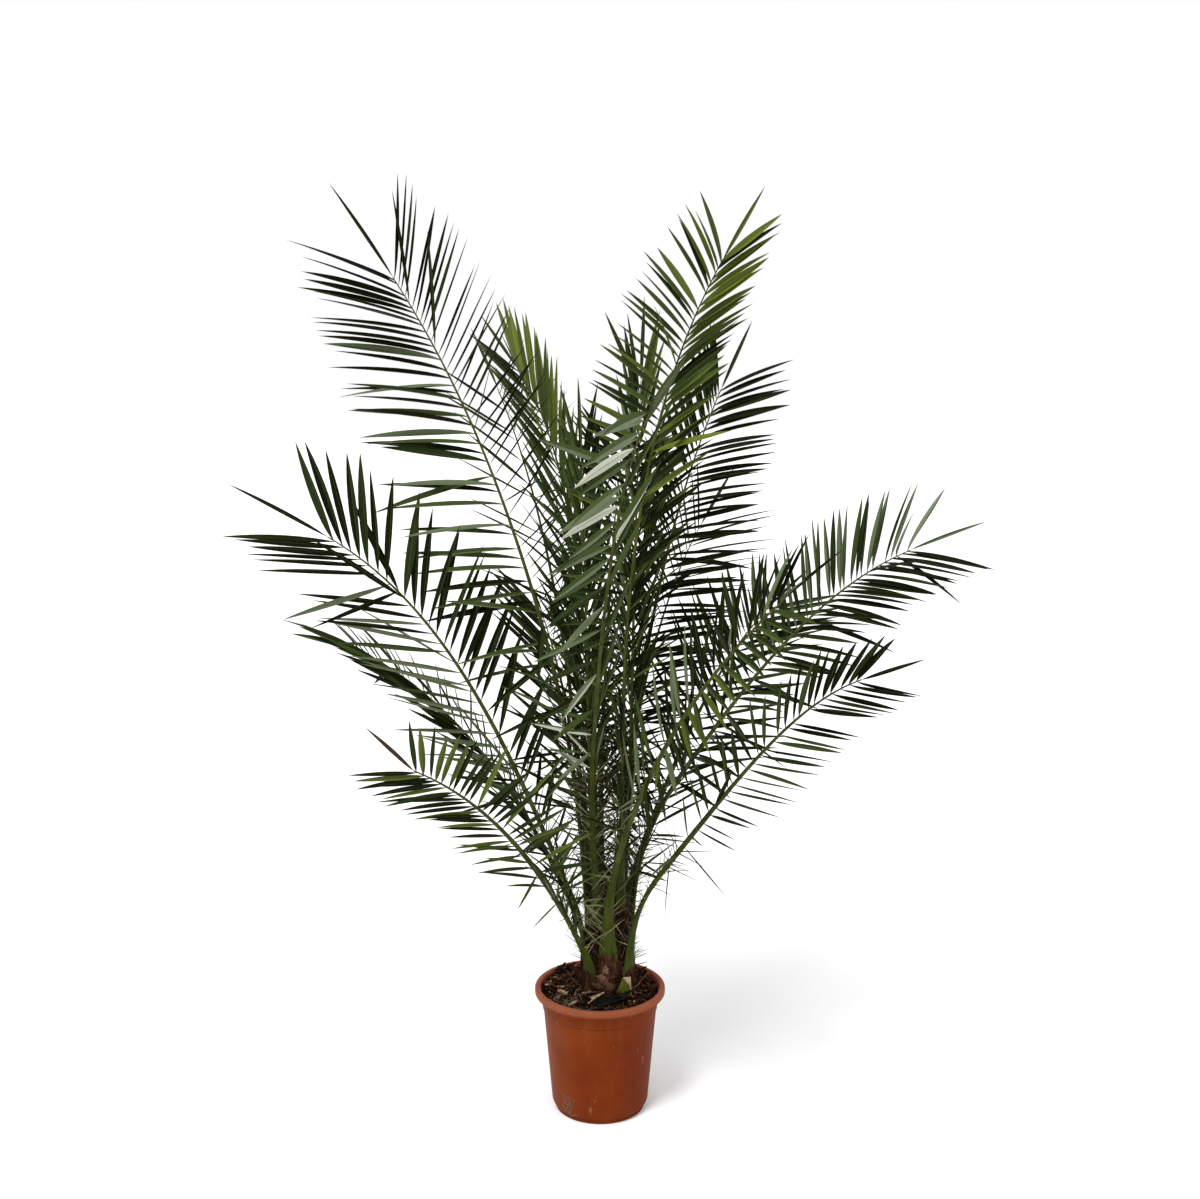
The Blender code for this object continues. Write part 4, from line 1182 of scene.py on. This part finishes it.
def soil_height(x, y):
    """The mulch is lumpy, level under the trunk and lower where it meets the pot."""
    from_trunk = hypot(x - TRUNK_X, y) - TRUNK_FLAT_RADIUS
    lumps = (sin(61 * x + 1.3) * cos(53 * y - 0.4) + 0.6 * sin(97 * x - 71 * y)) / 1.6
    rise = SOIL_BUMP * lumps * ramp(from_trunk / SOIL_BUMP_RAMP)
    rise += SOIL_ROUGHNESS * rough((x, y, 0.0), 0.012, 4)
    for mound_x, mound_y, height, width in MOUNDS:
        rise += height * exp(-((x - mound_x) ** 2 + (y - mound_y) ** 2) / width**2)
    return SOIL_Z + rise - SOIL_EDGE_DROP * ramp((hypot(x, y) - SOIL_EDGE_FROM) / SOIL_EDGE_WIDTH)


def on_soil(place, lift=0.0):
    """The point this far above the mulch at this place."""
    return np.array([place[0], place[1], soil_height(place[0], place[1]) + lift])


def scattered(reach, chance):
    """Any place on the level within this reach of the middle."""
    return at(reach * sqrt(chance.random()), chance.uniform(0, 360), 0)


def add_chip(piece, place, long, slot, chance):
    """A splinter of bark that lies on the mulch at any tilt."""
    wide = long * chance.uniform(0.22, 0.6)
    turn = chance.uniform(0, pi)
    tilt = chance.uniform(-0.7, 0.7)
    level = np.array([cos(turn) * cos(tilt), sin(turn) * cos(tilt), sin(tilt)])
    side = unit(np.cross((0, 0, 1.0), level) + (0, 0, chance.uniform(-0.5, 0.5)))
    up = np.cross(level, side)
    thick = long * chance.uniform(0.08, 0.2)
    middle = on_soil(place, chance.uniform(0, 0.004))
    rings = []
    for t, w in ((-0.5, 0.35), (-0.3, 0.9), (0.25, 1.0), (0.5, 0.3)):
        w = w * chance.uniform(0.7, 1.2)
        rings.append(diamond(middle + level * long * t, side * wide * w / 2, up * thick * w))
    piece.add(rings, slot, closed=True)


def add_root(piece, chance):
    """A thin root that wanders over the mulch and stops short of the pot."""
    place = scattered(SOIL_RADIUS * 0.95, chance)
    turn = chance.uniform(0, 2 * pi)
    curl = chance.uniform(-2.5, 2.5)
    length = chance.uniform(*ROOT_LENGTH)
    path = []
    for _ in range(ROOT_STEPS):
        path.append(place)
        place = place + flat(turn) * length / ROOT_STEPS
        if hypot(place[0], place[1]) > SOIL_RADIUS * 0.97:
            break
        turn += curl / ROOT_STEPS + chance.uniform(-0.4, 0.4)
    if len(path) < 3:
        return
    path = [on_soil(p, 0.001 + 0.004 * sin(3 * k / len(path))) for k, p in enumerate(path)]
    add_kind(piece, path, "root", chance)


def add_tangled_root(piece, chance):
    """One of the pale roots of the knot."""
    x, y, reach = TANGLE
    place = scattered(reach, chance) + (x, y, 0)
    turn = chance.uniform(0, 2 * pi)
    path = []
    for _ in range(9):
        path.append(on_soil(place, 0.002 + 0.004 * chance.random()))
        turn += chance.uniform(-0.9, 0.9)
        place = place + flat(turn) * TANGLE_STEP
    add_kind(piece, path, "stray", chance)


def add_rim_root(piece, azimuth, chance):
    """A thin root that comes off the mulch, crosses the rim and hangs a little way down outside."""
    reach = chance.uniform(*RIM_ROOT_REACH)
    path = [at(radius, azimuth + chance.uniform(-1.5, 1.5), z)
            for radius, z in (*RIM_ROOT_PATH, (RIM_RADIUS + 0.0015, POT_HEIGHT - reach))]
    add_strand(piece, path, RIM_ROOT_RADIUS, 4)


def add_wall_root(piece, chance):
    """A stray root that clings low on the wall."""
    first, last, bottom, top = WALL_ROOTS
    azimuth = chance.uniform(first - 3, last + 3)
    z = chance.uniform(bottom, (bottom + top) / 2)
    turn = chance.uniform(-1.2, 1.2)
    path = []
    for _ in range(8):
        path.append(at(wall_radius(max(z, POT_WALL_FOOT_Z)) + 0.0006, azimuth, z))
        turn += chance.uniform(-0.7, 0.7)
        azimuth += 1.6 * sin(turn)
        z = min(max(z + 0.006 * cos(turn), bottom), top)
    add_kind(piece, path, "stray", chance)


def build_mulch(materials):
    chance = random.Random("mulch")
    piece = Piece("mulch", materials, "mulch", "chip_dark", "chip_brown", "chip_pale", "root", "film")
    radii = np.linspace(SOIL_RADIUS, 0.01, 60)
    rings = [[on_soil(at(radius, azimuth, 0)) for azimuth in all_round(150, 360)] for radius in radii]
    piece.add(rings, 0, closed=True)
    for number in range(CHIP_COUNT):
        place = scattered(SOIL_RADIUS * 0.97, chance)
        long = chance.uniform(*CHIP_LENGTHS[number < LARGE_CHIPS])
        add_chip(piece, place, long, chance.choice(CHIP_MIX), chance)
    for _ in range(ROOT_COUNT):
        add_root(piece, chance)
    for x, y, long, wide, heading, slot, lift, rise in SCRAPS:
        direction = flat(radians(heading), rise)
        add_flake(piece, on_soil((x, y), lift), direction, (0, 0, 1.0), long, wide, slot, chance)
    for _ in range(TANGLE_COUNT):
        add_tangled_root(piece, chance)
    for azimuth in RIM_ROOTS:
        add_rim_root(piece, azimuth, chance)
    for _ in range(WALL_ROOT_COUNT):
        add_wall_root(piece, chance)
    piece.make("soil", "mulch")


# Pot

def wall_radius(z):
    step = POT_STEP if z > POT_STEP_Z else 0.0
    return POT_WALL_FOOT_RADIUS + POT_WALL_SLOPE * (z - POT_WALL_FOOT_Z) + step


def rounded(corners):
    """A profile with each corner, given as radius, height and fillet, turned into a short arc."""
    points = []
    for index, (radius, z, fillet) in enumerate(corners):
        corner = np.array([radius, z])
        if fillet == 0:
            points.append(corner)
            continue
        before = np.array(corners[index - 1][:2]) - corner
        after = np.array(corners[index + 1][:2]) - corner
        reach = min(fillet, 0.45 * np.linalg.norm(before), 0.45 * np.linalg.norm(after))
        start, end = corner + unit(before) * reach, corner + unit(after) * reach
        for t in np.linspace(0, 1, 5):
            points.append((1 - t) ** 2 * start + 2 * t * (1 - t) * corner + t * t * end)
    return points


def pot_profile():
    under_rim = wall_radius(RIM_BOTTOM_Z)
    return rounded((
        (0.0005, POT_HOLLOW, 0),
        (POT_FOOT_RADIUS - 0.006, POT_HOLLOW, 0.001),
        (POT_FOOT_RADIUS - 0.005, 0.0, 0.001),
        (POT_FOOT_RADIUS, 0.0, 0.002),
        (POT_FOOT_RADIUS, POT_FOOT_HEIGHT, 0.0015),
        (POT_FOOT_RADIUS + POT_FOOT_STEP, POT_FOOT_HEIGHT + POT_FOOT_STEP / 2, 0.002),
        (POT_WALL_FOOT_RADIUS, POT_WALL_FOOT_Z, 0.004),
        (wall_radius(POT_STEP_Z), POT_STEP_Z, 0.0006),
        (wall_radius(POT_STEP_Z + POT_STEP), POT_STEP_Z + POT_STEP, 0.0012),
        (under_rim, RIM_BOTTOM_Z, 0.0015),
        (RIM_RADIUS, RIM_BOTTOM_Z, RIM_ROUND),
        (RIM_RADIUS, POT_HEIGHT, RIM_ROUND),
        (RIM_INNER_RADIUS, POT_HEIGHT, RIM_LIP_ROUND),
        (under_rim - POT_WALL, RIM_BOTTOM_Z - RIM_LIP, 0.003),
        (wall_radius(POT_INSIDE_Z) - POT_WALL, POT_INSIDE_Z, 0),
    ))


def build_pot(materials):
    piece = Piece("nursery_pot", materials, "pot")
    piece.add([[at(radius, a, z) for a in all_round(POT_SEGMENTS, 360)] for radius, z in pot_profile()],
              0, closed=True)
    piece.make("pot", "pot_plastic")


# Stage

def add_light(name, kind, place, target, energy):
    data = bpy.data.lights.new(name, kind)
    data.energy = energy
    made = bpy.data.objects.new(name, data)
    made.location = place
    made.rotation_euler = (Vector(target) - Vector(place)).to_track_quat("-Z", "Y").to_euler()
    bpy.context.scene.collection.objects.link(made)
    return data


def build_stage():
    scene = bpy.context.scene
    data = bpy.data.cameras.new("camera")
    data.sensor_width = SENSOR_WIDTH
    data.lens = FOCAL_PIXELS / PICTURE_WIDTH * SENSOR_WIDTH
    camera = bpy.data.objects.new("camera", data)
    camera.location = CAMERA_PLACE
    camera.rotation_euler = (radians(CAMERA_TILT), 0, 0)
    scene.collection.objects.link(camera)
    scene.camera = camera
    mesh = bpy.data.meshes.new("floor")
    corners = [(x * FLOOR_REACH, y * FLOOR_REACH, 0) for x, y in ((-1, -1), (1, -1), (1, 1), (-1, 1))]
    mesh.from_pydata(corners, [], [(0, 1, 2, 3)])
    floor = bpy.data.objects.new("floor", mesh)
    scene.collection.objects.link(floor)
    mesh.materials.append(new_material("floor_white", FLOOR_COLOUR, 0.9, 0.1)[0])
    world = bpy.data.worlds.new("studio")
    world.use_nodes = True
    world.node_tree.nodes["Background"].inputs["Color"].default_value = (1, 1, 1, 1)
    world.node_tree.nodes["Background"].inputs["Strength"].default_value = 1.0
    scene.world = world
    scene.view_settings.view_transform = "Standard"
    sun = add_light("key", "SUN", SUN_PLACE, (0, 0, 0), SUN_STRENGTH)
    sun.angle = radians(SUN_ANGLE)
    fill = add_light("fill", "AREA", FILL_PLACE, FILL_TARGET, FILL_POWER)
    fill.shape = "DISK"
    fill.size = FILL_SIZE


def main():
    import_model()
    materials = make_materials()
    build_stage()
    build_pot(materials)
    build_mulch(materials)
    build_trunk(materials)
    build_fronds(materials)


main()
